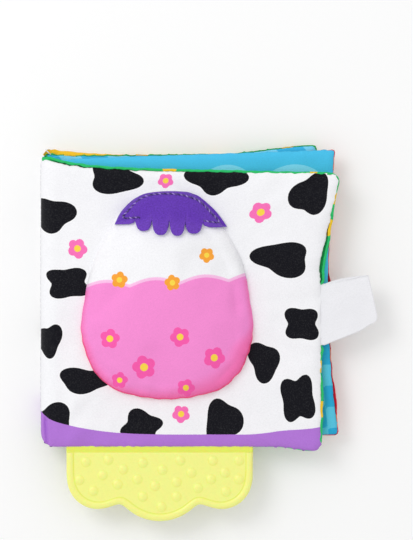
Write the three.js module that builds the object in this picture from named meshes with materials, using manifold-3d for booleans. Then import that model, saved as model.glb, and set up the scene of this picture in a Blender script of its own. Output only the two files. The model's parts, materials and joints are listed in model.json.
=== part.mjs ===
// Crinkle cloth book for a baby: two padded covers, two padded leaves between them, a padded head with
// a felt forelock on the front, a soft teether in the bottom seam and a ribbon loop in the side seam.
//
// Millimetres. The closed book lies on its back cover: +X runs from the spine to the fore-edge, +Y to
// the top of the page and +Z out of the front cover. The origin is the centre of the back cover's
// underside. Every sheet turns about one line, the fold of the spine, at half the book's thickness.

import * as THREE from "three";
import { mergeVertices } from "three/addons/utils/BufferGeometryUtils.js";
import Module from "manifold-3d";

const wasm = await Module();
wasm.setup();

// Layers of cloth, film and wadding, and the clearances between them
const clothThickness = 0.5;
const filmThickness = 0.3;
const leafWaddingThickness = 1.4;
const coverWaddingThickness = 2.8;
const layerGap = 0.3;
const sheetGap = 0.6;

// Levels count from the middle of the closed book outwards, the same way on both sides of it
const layerStep = clothThickness + layerGap;
const leafInnerFace = sheetGap / 2;
const leafFilmLevel = leafInnerFace + layerStep;
const leafWaddingLevel = leafFilmLevel + filmThickness + layerGap;
const leafOuterFace = leafWaddingLevel + leafWaddingThickness + layerStep;
const coverInnerFace = leafOuterFace + sheetGap;
const coverFilmLevel = coverInnerFace + layerStep;
const coverWaddingLevel = coverFilmLevel + filmThickness + layerGap;
const coverOuterFace = coverWaddingLevel + coverWaddingThickness + layerStep;
const leafSeamLevel = (leafInnerFace + leafOuterFace) / 2;
const coverSeamShare = 0.58; // the lining wraps a little round the cover's edge
const coverSeamLevel = coverInnerFace + (coverOuterFace - coverInnerFace) * coverSeamShare;

// The spine is a half round of the book's whole thickness
const spineRadius = coverOuterFace;
const middleZ = spineRadius;
const weldDistance = 0.001; // points nearer than this are one
const threadRadius = 0.25;
const threadWave = 0.15;
const foldClearance = threadRadius + threadWave + layerGap; // from the fold to the nearest cloth
const pageRoot = 1.5; // from the fold to the edges of the pages
const liningRoot = 2.6; // from the fold to the edges of the linings
const paddingRoot = 8; // from the fold to the wadding and film

// Sheets, as cut and as they lie
const coverReach = 149.3; // spine fold to fore-edge seam
const coverHeight = 147.1;
const spineX = -coverReach / 2;
const coverRoll = 5; // width of a cover's rounded edge
const leafRoll = 4;
const liningShow = 1.2; // how far a lining or back page stands out past the cloth it is sewn to
const paddingInset = 7; // from a sheet's free edges to its wadding and film
const cornerRadius = 4;
const tuckRadius = 7.5; // lower spine corner of the front cover, gathered
const crownHeight = 1.6; // extra fullness in the middle of the front cover
const waddingCrownShare = 0.8;

const flat = {
  middle: 0, tilt: 0, cornerRise: 0, shoulder: 0, shoulderRun: coverRoll, foreDip: 0, cornerDroop: 0,
  topFlare: 0, bottomFlare: 0, flareStartShare: 0, flarePower: 1, tuckRadius: cornerRadius,
};
const backCover = {
  ...flat, side: -1, reach: coverReach, height: 145, shoulder: 3.4, shoulderRun: 12, foreDip: 3,
};
const backLeaf = {
  ...flat, side: -1, reach: 146.8, height: 150.2, middle: -3.6, tilt: 2.2, cornerRise: 3.9,
};
const frontLeaf = {
  ...flat, side: 1, reach: 153.3, height: 150.2, middle: -5, tilt: 5.2,
  topFlare: 3.5, bottomFlare: 5.5, flarePower: 2,
};
const frontCover = {
  ...flat, side: 1, reach: coverReach, height: coverHeight, middle: -9.2, tuckRadius, bulges: true,
  shoulder: 6.9, shoulderRun: 17, foreDip: 1.8, cornerDroop: 2.2,
  topFlare: 10.7, flareStartShare: 0.3, flarePower: 1.2,
};

// Where the fore-edge corners of a sheet begin to rise or droop, and the run that this takes
const riseStartShare = 0.66;
const riseRunShare = 0.34;
const droopStartShare = 0.84;
const droopRunShare = 0.14;

// How the front cover stands off the pages: a lifted corner and a few soft folds
const curlHeight = 2.6;
const curlRun = 60;
// Folds: place as shares of the reach from the spine and of half the height from the middle, length
// and width as shares of the reach, height as a share of the crown's, and the turn as an angle
const foldShares = [
  { out: 0.085, up: -0.772, length: 0.281, width: 0.067, height: 0.81, turn: 0.9 },
  { out: 0.152, up: -0.881, length: 0.201, width: 0.06, height: 0.69, turn: 0.35 },
  { out: 0.909, up: 0.343, length: 0.201, width: 0.08, height: 0.75, turn: -0.5 },
  { out: 0.902, up: -0.473, length: 0.228, width: 0.08, height: 0.63, turn: 0.45 },
];

// Padded head
const headWidth = 91.5;
const headHeight = 110.7;
const headDome = 12;
const headSeat = 0.5; // cover's cloth to the head's sewn edge
const headFromSpine = 67.6; // fold of the spine to the head's centre line
const headAboveMiddle = 7.1; // middle of the front cover to the middle of the head
const headCentreShare = 0.42; // height of the dome's middle
const domeRoundShare = 0.4; // a half gives an elliptical dome, and less a flatter one
const headCount = 48; // points round the head
const headRingShares = [0, 0.03, 0.09, 0.19, 0.35, 0.55, 0.78];
const fillingRingShares = [0.05, 0.19, 0.5];
// Half outline from the chin to the crown: share of half the width, share of the height
const headShares = [
  [0, 0], [0.3, 0.012], [0.62, 0.05], [0.84, 0.13], [0.95, 0.23], [1, 0.345], [0.955, 0.49],
  [0.9, 0.61], [0.79, 0.73], [0.64, 0.835], [0.5, 0.912], [0.28, 0.985], [0, 1],
];

// Forelock of felt, with its row of stitches
const feltThickness = 1.2;
const feltLift = 0.6; // clearance over the head's bent cloth
const forelockArcShare = 0.185; // half of its arc as a share of a half turn round the dome's middle
const feltArcShare = 0.97; // of the arc, to the felt's own ends
const stitchArcShare = 0.86; // of the arc, to the ends of the row of stitches
const forelockDepthShare = 0.285;
const forelockTabShare = 0.085;
const forelockTopShare = 0.015;
const forelockTabs = 6;
const forelockColumnsPerTab = 6;
const feltRowShares = [0, 0.12, 0.3, 0.6, 1];
const stitchLength = 3.2;
const stitchWave = 0.3;
const stitchInsetShare = 0.055;
const threadSides = 5;
const spineStitch = 6; // length of a stitch along the fold of the spine

// Teether, its web and its sewn flange
const teetherWidth = 99.3;
const teetherDepth = 38.4; // hinge line to the middle lobe's lowest point
const teetherFromSpine = 63.2; // fold of the spine to the teether's centre line
const teetherSideShare = 0.41;
const sideLobeShare = 0.83;
const cuspShares = [0.425, 0.735];
const cuspInsetShare = 0.15; // of the rim's width, by which the rim is wider at a cusp
const lobeCentreShare = 0.685;
const innerLobeShare = 0.42;
const lobeSteps = 7; // along the outer quarter of a side lobe
const innerLobeSteps = 3;
const middleLobeSteps = 5; // along half of the middle lobe
const teetherPlate = 2.4;
const teetherRim = 3.6;
const teetherRimWidth = 3;
const teetherBump = 0.6;
const bumpRadius = 2.6;
const bumpSides = 10;
const bumpFlatShare = 0.6; // of a bump's radius, where its top begins to fall
const bumpShoulderShare = 0.75; // of a bump's height, kept there
const webThickness = 1.2;
const webLength = 1.8;
const webStart = 0.55; // hinge line to the web
const flangeThickness = 1.0;
const flangeStart = 1.2; // hinge line to the flange
const flangeDepth = 6;
const hingeOutset = 0.3; // edge of the lining to a seam's hinge line
const flangeWidthShare = 0.93;
// Bumps: share of half the width from the middle, share of the depth from the seam
const bumpShares = [
  [-0.79, 0.17], [-0.55, 0.14], [-0.18, 0.18], [0.22, 0.15], [0.57, 0.15], [0.85, 0.15],
  [-0.39, 0.27], [0.03, 0.28], [0.34, 0.32], [0.7, 0.32],
  [-0.86, 0.42], [-0.61, 0.35], [-0.24, 0.41], [0.18, 0.45], [0.55, 0.41], [0.85, 0.41],
  [-0.71, 0.57], [-0.45, 0.48], [-0.05, 0.5], [0.41, 0.53], [0.71, 0.58],
  [-0.18, 0.65], [0.18, 0.65], [0.02, 0.79],
];

// Ribbon loop
const ribbonThickness = 0.45;
const ribbonGap = 0.4;
const ribbonSwell = 0.9; // extra opening inside the loop towards its fold
const loopBelowMiddle = 3.4; // middle of the front cover to the middle of the loop's root
const loopRoot = 32.2; // width at the seam
// Corners from the middle of the seam, as shares of the root's width: top and bottom of the seam,
// bottom and top of the fold
const loopCornerShares = [[0, 0.5], [0, -0.5], [0.885, -0.155], [0.7, 0.64]];
const ribbonRunShares = [0, 0.35, 0.7, 0.94]; // along the loop, to where its fold begins
const ribbonBendShares = [-0.6, 0, 0.6]; // round the fold, as shares of a quarter turn
const ribbonAcrossShares = [0, 0.06, 0.28, 0.5, 0.72, 0.94, 1];
const ribbonEdgeShare = 0.94; // of the loop's length, at the two edges of the ribbon
const ribbonEndDepth = 6;

// Mesh helpers

function smooth(share) {
  const t = Math.min(1, Math.max(0, share));
  return t * t * (3 - 2 * t);
}

function mix(a, b, share) {
  return a + (b - a) * share;
}

function geometryOf(points, triangles) {
  const geometry = new THREE.BufferGeometry();
  geometry.setFromPoints(points);
  geometry.setIndex(triangles.flat());
  return geometry;
}

function solidOf(geometry) {
  const bare = geometry.clone();
  bare.deleteAttribute("normal");
  bare.deleteAttribute("uv");
  const merged = mergeVertices(bare, weldDistance);
  const vertProperties = new Float32Array(merged.attributes.position.array);
  const triVerts = new Uint32Array(merged.index.array);
  return new wasm.Manifold(new wasm.Mesh({ numProp: 3, vertProperties, triVerts }));
}

function geometryFrom(solid) {
  const mesh = solid.getMesh();
  const geometry = new THREE.BufferGeometry();
  geometry.setAttribute("position", new THREE.BufferAttribute(mesh.vertProperties, 3));
  geometry.setIndex(new THREE.BufferAttribute(mesh.triVerts, 1));
  return geometry;
}

function cut(geometry, ...cutters) {
  const solid = cutters.reduce((rest, cutter) => rest.subtract(solidOf(cutter)), solidOf(geometry));
  return geometryFrom(solid);
}

function join(geometry, ...others) {
  const solid = others.reduce((sum, other) => sum.add(solidOf(other)), solidOf(geometry));
  return geometryFrom(solid);
}

// A face is a stack of rings, each with the same number of points, closed by one point in the middle.
// The triangles look up.
function faceTriangles(rings, count, first) {
  const triangles = [];
  const at = (ring, i) => first + ring * count + (i % count);
  for (let ring = 0; ring + 1 < rings; ring += 1) {
    for (let i = 0; i < count; i += 1) {
      triangles.push([at(ring, i), at(ring, i + 1), at(ring + 1, i + 1)]);
      triangles.push([at(ring, i), at(ring + 1, i + 1), at(ring + 1, i)]);
    }
  }
  const middle = first + rings * count;
  for (let i = 0; i < count; i += 1) {
    triangles.push([at(rings - 1, i), at(rings - 1, i + 1), middle]);
  }
  return triangles;
}

// The closed body between an upper and a lower face of the same layout
function between(upper, lower, rings, count) {
  const triangles = faceTriangles(rings, count, 0);
  const below = faceTriangles(rings, count, upper.length).map(([a, b, c]) => [a, c, b]);
  triangles.push(...below);
  for (let i = 0; i < count; i += 1) {
    const next = (i + 1) % count;
    triangles.push([i, upper.length + i, upper.length + next]);
    triangles.push([i, upper.length + next, next]);
  }
  return geometryOf([...upper, ...lower], triangles);
}

// The same face, moved along its own normals
function offsetFace(points, rings, count, distance) {
  const geometry = geometryOf(points, faceTriangles(rings, count, 0));
  geometry.computeVertexNormals();
  const normal = new THREE.Vector3();
  return points.map((point, i) => {
    normal.fromBufferAttribute(geometry.attributes.normal, i);
    return point.clone().addScaledVector(normal, distance);
  });
}

// Padded sheets

// One ring of a sheet: a rectangle with round corners. Each point says how free its edge is, from 0 on
// the spine side to 1 on the three others.
function sheetRing(bounds, radii, cornerSteps, sideSteps) {
  const corners = [
    { x: bounds.left, y: bounds.bottom, dx: 1, dy: 1, start: Math.PI, free: [0, 1], r: radii.tuck },
    { x: bounds.right, y: bounds.bottom, dx: -1, dy: 1, start: Math.PI * 1.5, free: [1, 1], r: radii.plain },
    { x: bounds.right, y: bounds.top, dx: -1, dy: -1, start: 0, free: [1, 1], r: radii.plain },
    { x: bounds.left, y: bounds.top, dx: 1, dy: -1, start: Math.PI / 2, free: [1, 0], r: radii.plain },
  ];
  const arcs = corners.map((corner) => {
    const points = [];
    for (let k = 0; k <= cornerSteps; k += 1) {
      const angle = corner.start + (Math.PI / 2) * (k / cornerSteps);
      points.push({
        s: corner.x + corner.r * (corner.dx + Math.cos(angle)),
        v: corner.y + corner.r * (corner.dy + Math.sin(angle)),
        free: mix(corner.free[0], corner.free[1], k / cornerSteps),
      });
    }
    return points;
  });
  return arcs.flatMap((arc, i) => {
    const from = arc[arc.length - 1];
    const to = arcs[(i + 1) % arcs.length][0];
    const side = sideShares(from.s, to.s, sideSteps).map((share) => ({
      s: mix(from.s, to.s, share), v: mix(from.v, to.v, share), free: mix(from.free, to.free, share),
    }));
    return [...arc, ...side];
  });
}

// Places along a side. On a side that runs out from the spine, the first is where the spine's round ends.
function sideShares(from, to, steps) {
  const near = Math.min(from, to);
  const reach = Math.max(from, to) - near;
  const upright = reach < clothThickness;
  const least = 1 / (steps * steps);
  const first = upright ? 1 / steps : Math.max(least, (spineRadius - near) / reach);
  const shares = [];
  for (let k = 0; k < steps - 1; k += 1) {
    shares.push(mix(first, 1, k / (steps - 1)));
  }
  return from > to && !upright ? shares.map((share) => 1 - share).reverse() : shares;
}

// All rings of a layer, from its edge to its middle, in the sheet's own flat places
function layerRings(sheet, layer, layout) {
  const half = sheet.height / 2;
  const rootAngle = Math.acos(1 - layer.root / spineRadius);
  const rings = layout.rollShares.map((share) => {
    const angle = (Math.PI / 2) * share;
    const inset = layer.inset + layer.roll * (1 - Math.cos(angle));
    const spineInset = layer.rolledSpine
      ? layer.root + layer.roll * (1 - Math.cos(angle))
      : spineRadius * (1 - Math.cos(mix(rootAngle, Math.PI / 2, share)));
    const bounds = {
      left: spineInset, right: sheet.reach - inset, bottom: inset - half, top: half - inset,
    };
    return { bounds, inset, rise: Math.sin(angle) };
  });
  const last = rings[rings.length - 1].bounds;
  const middle = { s: (last.left + last.right) / 2, v: (last.bottom + last.top) / 2 };
  for (const share of layout.innerShares) {
    const bounds = {
      left: mix(last.left, middle.s, share), right: mix(last.right, middle.s, share),
      bottom: mix(last.bottom, middle.v, share), top: mix(last.top, middle.v, share),
    };
    rings.push({ bounds, inset: layer.inset + layer.roll, rise: 1 });
  }
  const points = rings.flatMap(({ bounds, inset, rise }) => {
    const least = layerGap;
    const radii = {
      plain: Math.max(cornerRadius - inset, least),
      tuck: Math.max(sheet.tuckRadius - inset, least),
    };
    return sheetRing(bounds, radii, layout.cornerSteps, layout.sideSteps).map((point) => {
      const free = layer.rolledSpine ? 1 : point.free ** 2;
      return { ...point, rise: 1 - free * (1 - rise) };
    });
  });
  points.push({ ...middle, free: 1, rise: 1 });
  return points;
}

// Where a flat place of a sheet lies in the closed book, seen from above
function lie(sheet, s, v) {
  const along = s / sheet.reach;
  const up = v / (sheet.height / 2);
  const above = Math.max(0, up);
  const below = Math.max(0, -up);
  const start = sheet.flareStartShare;
  const flareTop = Math.max(0, (above - start) / (1 - start)) ** sheet.flarePower;
  const flareBottom = below ** sheet.flarePower;
  const x = spineX + s + (sheet.topFlare * flareTop + sheet.bottomFlare * flareBottom) * along * along;
  const y = v + sheet.middle + sheet.tilt * along
    + above * (sheet.shoulder * Math.exp(-s / sheet.shoulderRun) - sheet.foreDip * along)
    + above * sheet.cornerRise * smooth((along - riseStartShare) / riseRunShare)
    - below * sheet.cornerDroop * smooth((along - droopStartShare) / droopRunShare);
  return { x, y };
}

// How much of its level a sheet keeps on its way into the fold of the spine
function squeeze(s) {
  return s < spineRadius ? Math.sqrt(1 - (1 - s / spineRadius) ** 2) : 1;
}

function crown(sheet, s, v) {
  const across = s / sheet.reach * 2 - 1;
  const up = v / (sheet.height / 2);
  return sheet.bulges ? crownHeight * Math.max(0, 1 - across ** 2) * Math.max(0, 1 - up ** 2) : 0;
}

const frontTop = frontCover.middle + frontCover.height / 2;
const frontFore = spineX + frontCover.reach;

function curl(x, y) {
  const fromCorner = Math.hypot(x - frontFore, y - frontTop);
  return curlHeight * smooth(1 - fromCorner / curlRun);
}

function foldHeight(x, y) {
  const halfReach = frontCover.reach / 2;
  return foldShares.reduce((sum, fold) => {
    const dx = x - spineX - fold.out * frontCover.reach;
    const dy = y - frontCover.middle - (fold.up * frontCover.height) / 2;
    const along = (dx * Math.cos(fold.turn) + dy * Math.sin(fold.turn)) / (fold.length * halfReach);
    const across = (dy * Math.cos(fold.turn) - dx * Math.sin(fold.turn)) / (fold.width * halfReach);
    return sum + fold.height * crownHeight * Math.exp(-(across ** 2) - along ** 2);
  }, 0);
}

// One face of a layer in space. Its level is the face's own, dropping to the seam's at the free edges.
function sheetFace(sheet, layer, layout, level, seam) {
  return layerRings(sheet, layer, layout).map(({ s, v, rise }) => {
    const { x, y } = lie(sheet, s, v);
    const full = level + (layer.full ?? 0) * crown(sheet, s, v);
    const height = (seam + (full - seam) * rise) * squeeze(s);
    const lifted = sheet.bulges ? curl(x, y) : 0;
    const folded = layer.folded ? foldHeight(x, y) * rise * smooth(s / spineRadius - 1) : 0;
    return new THREE.Vector3(x, y, middleZ + sheet.side * height + lifted + folded);
  });
}

function ringCount(layout) {
  return layout.rollShares.length + layout.innerShares.length;
}

function pointCount(layout) {
  return 4 * (layout.cornerSteps + layout.sideSteps);
}

// How finely each kind of layer is divided: steps round a corner and along a side, rings over the
// rounded edge and rings from there to the middle
const pageLayout = { cornerSteps: 2, sideSteps: 5, rollShares: [0, 0.5, 1], innerShares: [0.5] };
const backLayout = { cornerSteps: 2, sideSteps: 5, rollShares: [0, 0.2, 0.4, 0.65, 1], innerShares: [0.5] };
const padLayout = { cornerSteps: 2, sideSteps: 3, rollShares: [0, 0.5, 1], innerShares: [] };
const filmLayout = { cornerSteps: 1, sideSteps: 3, rollShares: [0, 1], innerShares: [] };
const liftedShares = [0.12, 0.26, 0.45, 0.7];
const liftedLayout = { cornerSteps: 2, sideSteps: 6, rollShares: [0, 0.5, 1], innerShares: liftedShares };
const frontLiningLayout = { ...liftedLayout, cornerSteps: 3, sideSteps: 9 };
const frontLayout = { ...frontLiningLayout, rollShares: [0, 0.2, 0.4, 0.65, 1] };

// A cloth, with its visible face at a level and its thickness on the inside of the sheet. An outward
// cloth is seen from the outside of the book, and the others face its middle. The two cloths of a
// sheet meet at the seam, half a clearance each from its level.
function cloth(sheet, layer, layout, level, seam, outward) {
  const rings = ringCount(layout);
  const count = pointCount(layout);
  const edge = seam + (outward ? layerGap / 2 : -layerGap / 2);
  const face = sheetFace(sheet, layer, layout, level, edge);
  const facesUp = outward === (sheet.side > 0);
  const inside = offsetFace(face, rings, count, facesUp ? -clothThickness : clothThickness);
  return facesUp ? between(face, inside, rings, count) : between(inside, face, rings, count);
}

// Wadding or film, between two levels
function filler(sheet, layer, layout, low, high, edge) {
  const middle = (low + high) / 2;
  const lowFace = sheetFace(sheet, { ...layer, full: 0 }, layout, low, middle - edge);
  const highFace = sheetFace(sheet, layer, layout, high, middle + edge);
  const [lower, upper] = sheet.side > 0 ? [lowFace, highFace] : [highFace, lowFace];
  return between(upper, lower, ringCount(layout), pointCount(layout));
}

const foldAngle = 2 * Math.asin(foldClearance / (2 * spineRadius));
const outerRoot = spineRadius * (1 - Math.cos(foldAngle));

function coverOuterCloth(sheet, layout) {
  const full = sheet.bulges ? 1 : 0;
  const layer = { inset: 0, root: outerRoot, roll: coverRoll, full, folded: sheet.bulges };
  return cloth(sheet, layer, layout, coverOuterFace, coverSeamLevel, true);
}

function coverLining(sheet, layout) {
  const layer = { inset: -liningShow, root: liningRoot, roll: coverRoll };
  return cloth(sheet, layer, layout, coverInnerFace, coverSeamLevel, false);
}

function leafCloth(sheet, inset, outward) {
  const level = outward ? leafOuterFace : leafInnerFace;
  return cloth(sheet, { inset, root: pageRoot, roll: leafRoll }, pageLayout, level, leafSeamLevel, outward);
}

function leafFrontCloth(sheet) {
  return leafCloth(sheet, 0, sheet.side > 0);
}

function leafBackCloth(sheet) {
  return leafCloth(sheet, -liningShow, sheet.side < 0);
}

function wadding(sheet, layout, low, thickness) {
  const full = sheet.bulges ? waddingCrownShare : 0;
  const layer = { inset: paddingInset, root: paddingRoot, roll: thickness, rolledSpine: true, full };
  return filler(sheet, layer, layout, low, low + thickness, layerGap / 2);
}

function film(sheet, layout, low) {
  const layer = { inset: paddingInset, root: paddingRoot, roll: layerGap, rolledSpine: true };
  return filler(sheet, layer, layout, low, low + filmThickness, filmThickness / 2);
}

// Padded head on the front cover

const headX = spineX + headFromSpine;
const headY = frontCover.middle + headAboveMiddle;

// The front cover's outer face, under what is sewn on it
function coverTop(x, y) {
  return middleZ + coverOuterFace + crown(frontCover, x - spineX, y - frontCover.middle)
    + curl(x, y) + foldHeight(x, y);
}

const otherHalfShares = headShares.slice(1, -1).reverse().map(([across, up]) => [-across, up]);
const headCorners = [...headShares, ...otherHalfShares].map(
  ([across, up]) => new THREE.Vector3((across * headWidth) / 2, (up - headCentreShare) * headHeight, 0),
);
const headOutline = new THREE.CatmullRomCurve3(headCorners, true)
  .getSpacedPoints(headCount)
  .slice(0, headCount);

// The outline's point in a direction from the dome's middle
function headReach(angle) {
  const dirX = Math.cos(angle);
  const dirY = Math.sin(angle);
  let reach = 0;
  headOutline.forEach((a, i) => {
    const b = headOutline[(i + 1) % headCount];
    const turn = dirX * (b.y - a.y) - dirY * (b.x - a.x);
    const along = (dirY * a.x - dirX * a.y) / turn;
    if (along >= 0 && along <= 1) {
      reach = Math.max(reach, dirX * mix(a.x, b.x, along) + dirY * mix(a.y, b.y, along));
    }
  });
  return reach;
}

function domeHeight(depth) {
  return headDome * Math.sqrt(1 - (1 - depth) ** (1 / domeRoundShare));
}

// A place on the head, by its point of the outline and its depth in from there
function headPoint(edge, depth) {
  const x = headX + edge.x * (1 - depth);
  const y = headY + (headCentreShare - 0.5) * headHeight + edge.y * (1 - depth);
  return new THREE.Vector3(x, y, coverTop(x, y) + headSeat + domeHeight(depth));
}

function headFace(shares) {
  const points = shares.flatMap((depth) => headOutline.map((edge) => headPoint(edge, depth)));
  return [...points, headPoint(headOutline[0], 1)];
}

function headCloth() {
  const rings = headRingShares.length;
  const face = headFace(headRingShares);
  const inside = offsetFace(face, rings, headCount, -clothThickness);
  return between(face, inside, rings, headCount);
}

function headFilling() {
  const rings = fillingRingShares.length;
  const upper = offsetFace(headFace(fillingRingShares), rings, headCount, -layerStep);
  const lower = upper.map(({ x, y }) => new THREE.Vector3(x, y, coverTop(x, y) + headSeat));
  return between(upper, lower, rings, headCount);
}

// Forelock of felt: a patch that runs parallel to the head's cloth

const forelockSpread = Math.PI * forelockArcShare;

function forelockDepth(turn, tab) {
  const across = turn / forelockSpread;
  const round = Math.sqrt(1 - (2 * tab - 1) ** 2);
  return forelockDepthShare * (1 - across ** 2) + forelockTabShare * round * (1 - across ** 4);
}

// A place over the head, off its cloth by a height along the cloth's normal. Two neighbours each way
// give the normal.
function aboveHead(turn, depth, height) {
  const nearShare = 0.01;
  const angle = Math.PI / 2 + turn;
  const at = (a, d) => {
    const reach = headReach(a);
    return headPoint({ x: reach * Math.cos(a), y: reach * Math.sin(a) }, Math.max(0, d));
  };
  const sideways = at(angle + nearShare, depth).sub(at(angle - nearShare, depth));
  const inwards = at(angle, depth + nearShare).sub(at(angle, depth - nearShare));
  const normal = sideways.cross(inwards).normalize();
  return at(angle, depth).addScaledVector(normal, height);
}

function forelockFelt() {
  const columns = forelockTabs * forelockColumnsPerTab;
  const end = forelockSpread * feltArcShare;
  const upper = [];
  const lower = [];
  for (let column = 0; column <= columns; column += 1) {
    const turn = mix(end, -end, column / columns);
    const tab = (column % forelockColumnsPerTab) / forelockColumnsPerTab;
    const depth = forelockDepth(turn, tab);
    for (const share of feltRowShares) {
      const at = forelockTopShare + depth * share;
      upper.push(aboveHead(turn, at, feltLift + feltThickness));
      lower.push(aboveHead(turn, at, feltLift));
    }
  }
  return slab(upper, lower, columns + 1, feltRowShares.length);
}

// The closed body between two grids of points of the same layout, the upper one looking up
function slab(upper, lower, columns, rows) {
  const at = (column, row) => column * rows + row;
  const shift = upper.length;
  const triangles = [];
  for (let c = 0; c + 1 < columns; c += 1) {
    for (let r = 0; r + 1 < rows; r += 1) {
      const [a, b, d, e] = [at(c, r), at(c, r + 1), at(c + 1, r), at(c + 1, r + 1)];
      triangles.push([a, b, e], [a, e, d]);
      triangles.push([shift + a, shift + e, shift + b], [shift + a, shift + d, shift + e]);
    }
  }
  const border = [];
  for (let r = 0; r + 1 < rows; r += 1) {
    border.push([at(0, r), at(0, r + 1)]);
  }
  for (let c = 0; c + 1 < columns; c += 1) {
    border.push([at(c, rows - 1), at(c + 1, rows - 1)]);
  }
  for (let r = rows - 1; r > 0; r -= 1) {
    border.push([at(columns - 1, r), at(columns - 1, r - 1)]);
  }
  for (let c = columns - 1; c > 0; c -= 1) {
    border.push([at(c, 0), at(c - 1, 0)]);
  }
  for (const [a, b] of border) {
    triangles.push([a, shift + a, shift + b], [a, shift + b, b]);
  }
  return geometryOf([...upper, ...lower], triangles);
}

// A sewing thread through points, two of them to each stitch
function thread(points) {
  const corners = [];
  for (let i = 0; i < threadSides; i += 1) {
    const angle = (2 * Math.PI * i) / threadSides;
    corners.push(new THREE.Vector2(threadRadius * Math.cos(angle), threadRadius * Math.sin(angle)));
  }
  const extrudePath = new THREE.CatmullRomCurve3(points);
  const steps = 2 * (points.length - 1);
  return new THREE.ExtrudeGeometry(new THREE.Shape(corners), { extrudePath, steps, curveSegments: 1 });
}

function forelockStitching() {
  const height = feltLift + feltThickness + layerGap + threadRadius;
  const end = forelockSpread * stitchArcShare;
  const count = Math.round((2 * end * headReach(Math.PI / 2)) / stitchLength);
  const points = [];
  for (let i = 0; i <= count * 2; i += 1) {
    const turn = mix(end, -end, i / (count * 2));
    points.push(aboveHead(turn, stitchInsetShare, height + (i % 2) * stitchWave));
  }
  return thread(points);
}

// Thread along the fold of the spine

function spineStitching() {
  const low = frontCover.middle - frontCover.height / 2 + tuckRadius;
  const high = backCover.height / 2 + backCover.shoulder - cornerRadius;
  const count = Math.round((high - low) / spineStitch);
  const points = [];
  for (let i = 0; i <= count * 2; i += 1) {
    const sway = i % 2 ? threadWave : -threadWave;
    points.push(new THREE.Vector3(spineX + sway, mix(low, high, i / (count * 2)), middleZ));
  }
  return thread(points);
}

// Teether in the bottom seam

const seamZ = middleZ + coverSeamLevel;
const teetherX = spineX + teetherFromSpine;
const teetherY = frontCover.middle - frontCover.height / 2 - liningShow - hingeOutset;

// Half of the outline is side, side lobe and half of the middle lobe; the other half mirrors it. An
// inner outline runs out past the top, where the plate has no rim.
function teetherOutline(inset) {
  const half = teetherWidth / 2 - inset;
  const depth = teetherDepth - inset;
  const top = webStart + webLength - inset;
  const side = teetherDepth * teetherSideShare;
  const lobeX = half * lobeCentreShare;
  const lobeDrop = depth * sideLobeShare - side;
  const points = [];
  for (let k = 0; k <= lobeSteps; k += 1) {
    const angle = (Math.PI / 2) * (k / lobeSteps);
    points.push([mix(lobeX, half, Math.cos(angle)), -side - lobeDrop * Math.sin(angle)]);
  }
  const cuspX = half * cuspShares[0];
  const cuspY = -depth * cuspShares[1] + inset * cuspInsetShare;
  const innerHalf = half * innerLobeShare;
  const cuspAngle = Math.asin((lobeX - cuspX) / innerHalf);
  const lobeScale = (-side - cuspY) / (lobeDrop * Math.cos(cuspAngle));
  for (let k = 1; k <= innerLobeSteps; k += 1) {
    const angle = cuspAngle * (k / innerLobeSteps);
    const drop = lobeDrop * Math.cos(angle) * mix(1, lobeScale, k / innerLobeSteps);
    points.push([lobeX - innerHalf * Math.sin(angle), -side - drop]);
  }
  const rise = depth + cuspY;
  const radius = (cuspX ** 2 + rise ** 2) / (2 * rise);
  const spread = Math.asin(cuspX / radius);
  for (let k = 1; k < middleLobeSteps; k += 1) {
    const angle = spread * (1 - k / middleLobeSteps);
    points.push([radius * Math.sin(angle), radius - depth - radius * Math.cos(angle)]);
  }
  const mirrored = points.map(([x, y]) => [-x, y]).reverse();
  return [...points, [0, -depth], ...mirrored, [-half, -top], [half, -top]];
}

function plate(outline, low, high) {
  const shape = new THREE.Shape(outline.map(([x, y]) => new THREE.Vector2(x, y)));
  const geometry = new THREE.ExtrudeGeometry(shape, { depth: high - low, bevelEnabled: false });
  return geometry.translate(teetherX, teetherY, seamZ + low);
}

function block(width, depth, height, x, y, z) {
  return new THREE.BoxGeometry(width, depth, height).translate(x, y, z);
}

function bump([across, down]) {
  const plateTop = teetherPlate / 2;
  const profile = [
    new THREE.Vector2(0, 0),
    new THREE.Vector2(bumpRadius, 0),
    new THREE.Vector2(bumpRadius, plateTop - layerGap),
    new THREE.Vector2(bumpRadius * bumpFlatShare, plateTop + teetherBump * bumpShoulderShare),
    new THREE.Vector2(0, plateTop + teetherBump),
  ];
  const geometry = new THREE.LatheGeometry(profile, bumpSides).rotateX(Math.PI / 2);
  return geometry.translate(
    teetherX + (across * teetherWidth) / 2, teetherY - down * teetherDepth, seamZ,
  );
}

function teether() {
  const outer = teetherOutline(0);
  const inner = teetherOutline(teetherRimWidth);
  const body = plate(outer, -teetherRim / 2, teetherRim / 2);
  const above = plate(inner, teetherPlate / 2, teetherRim);
  const below = plate(inner, -teetherRim, -teetherPlate / 2);
  const web = block(
    teetherWidth, webLength + teetherRimWidth, webThickness,
    teetherX, teetherY - webStart - (webLength + teetherRimWidth) / 2, seamZ,
  );
  return join(cut(body, above, below), web, ...bumpShares.map(bump));
}

function flange() {
  return block(
    teetherWidth * flangeWidthShare, flangeDepth, flangeThickness,
    teetherX, teetherY + flangeStart + flangeDepth / 2, seamZ,
  );
}

// The opening between the two cloths, from behind the flange to the hinge line
function flangeSlot() {
  const depth = flangeStart + flangeDepth + layerGap;
  return block(
    teetherWidth * flangeWidthShare + 2 * layerGap, depth, flangeThickness + 2 * layerGap,
    teetherX, teetherY + depth / 2, seamZ,
  );
}

// Ribbon loop in the fore-edge seam

const loopX = frontFore + liningShow + hingeOutset;
const loopMiddleY = frontCover.middle - loopBelowMiddle;

function ribbonEnds() {
  return block(
    ribbonEndDepth, loopRoot, 2 * ribbonThickness,
    loopX - flangeStart - ribbonEndDepth / 2, loopMiddleY, seamZ,
  );
}

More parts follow.
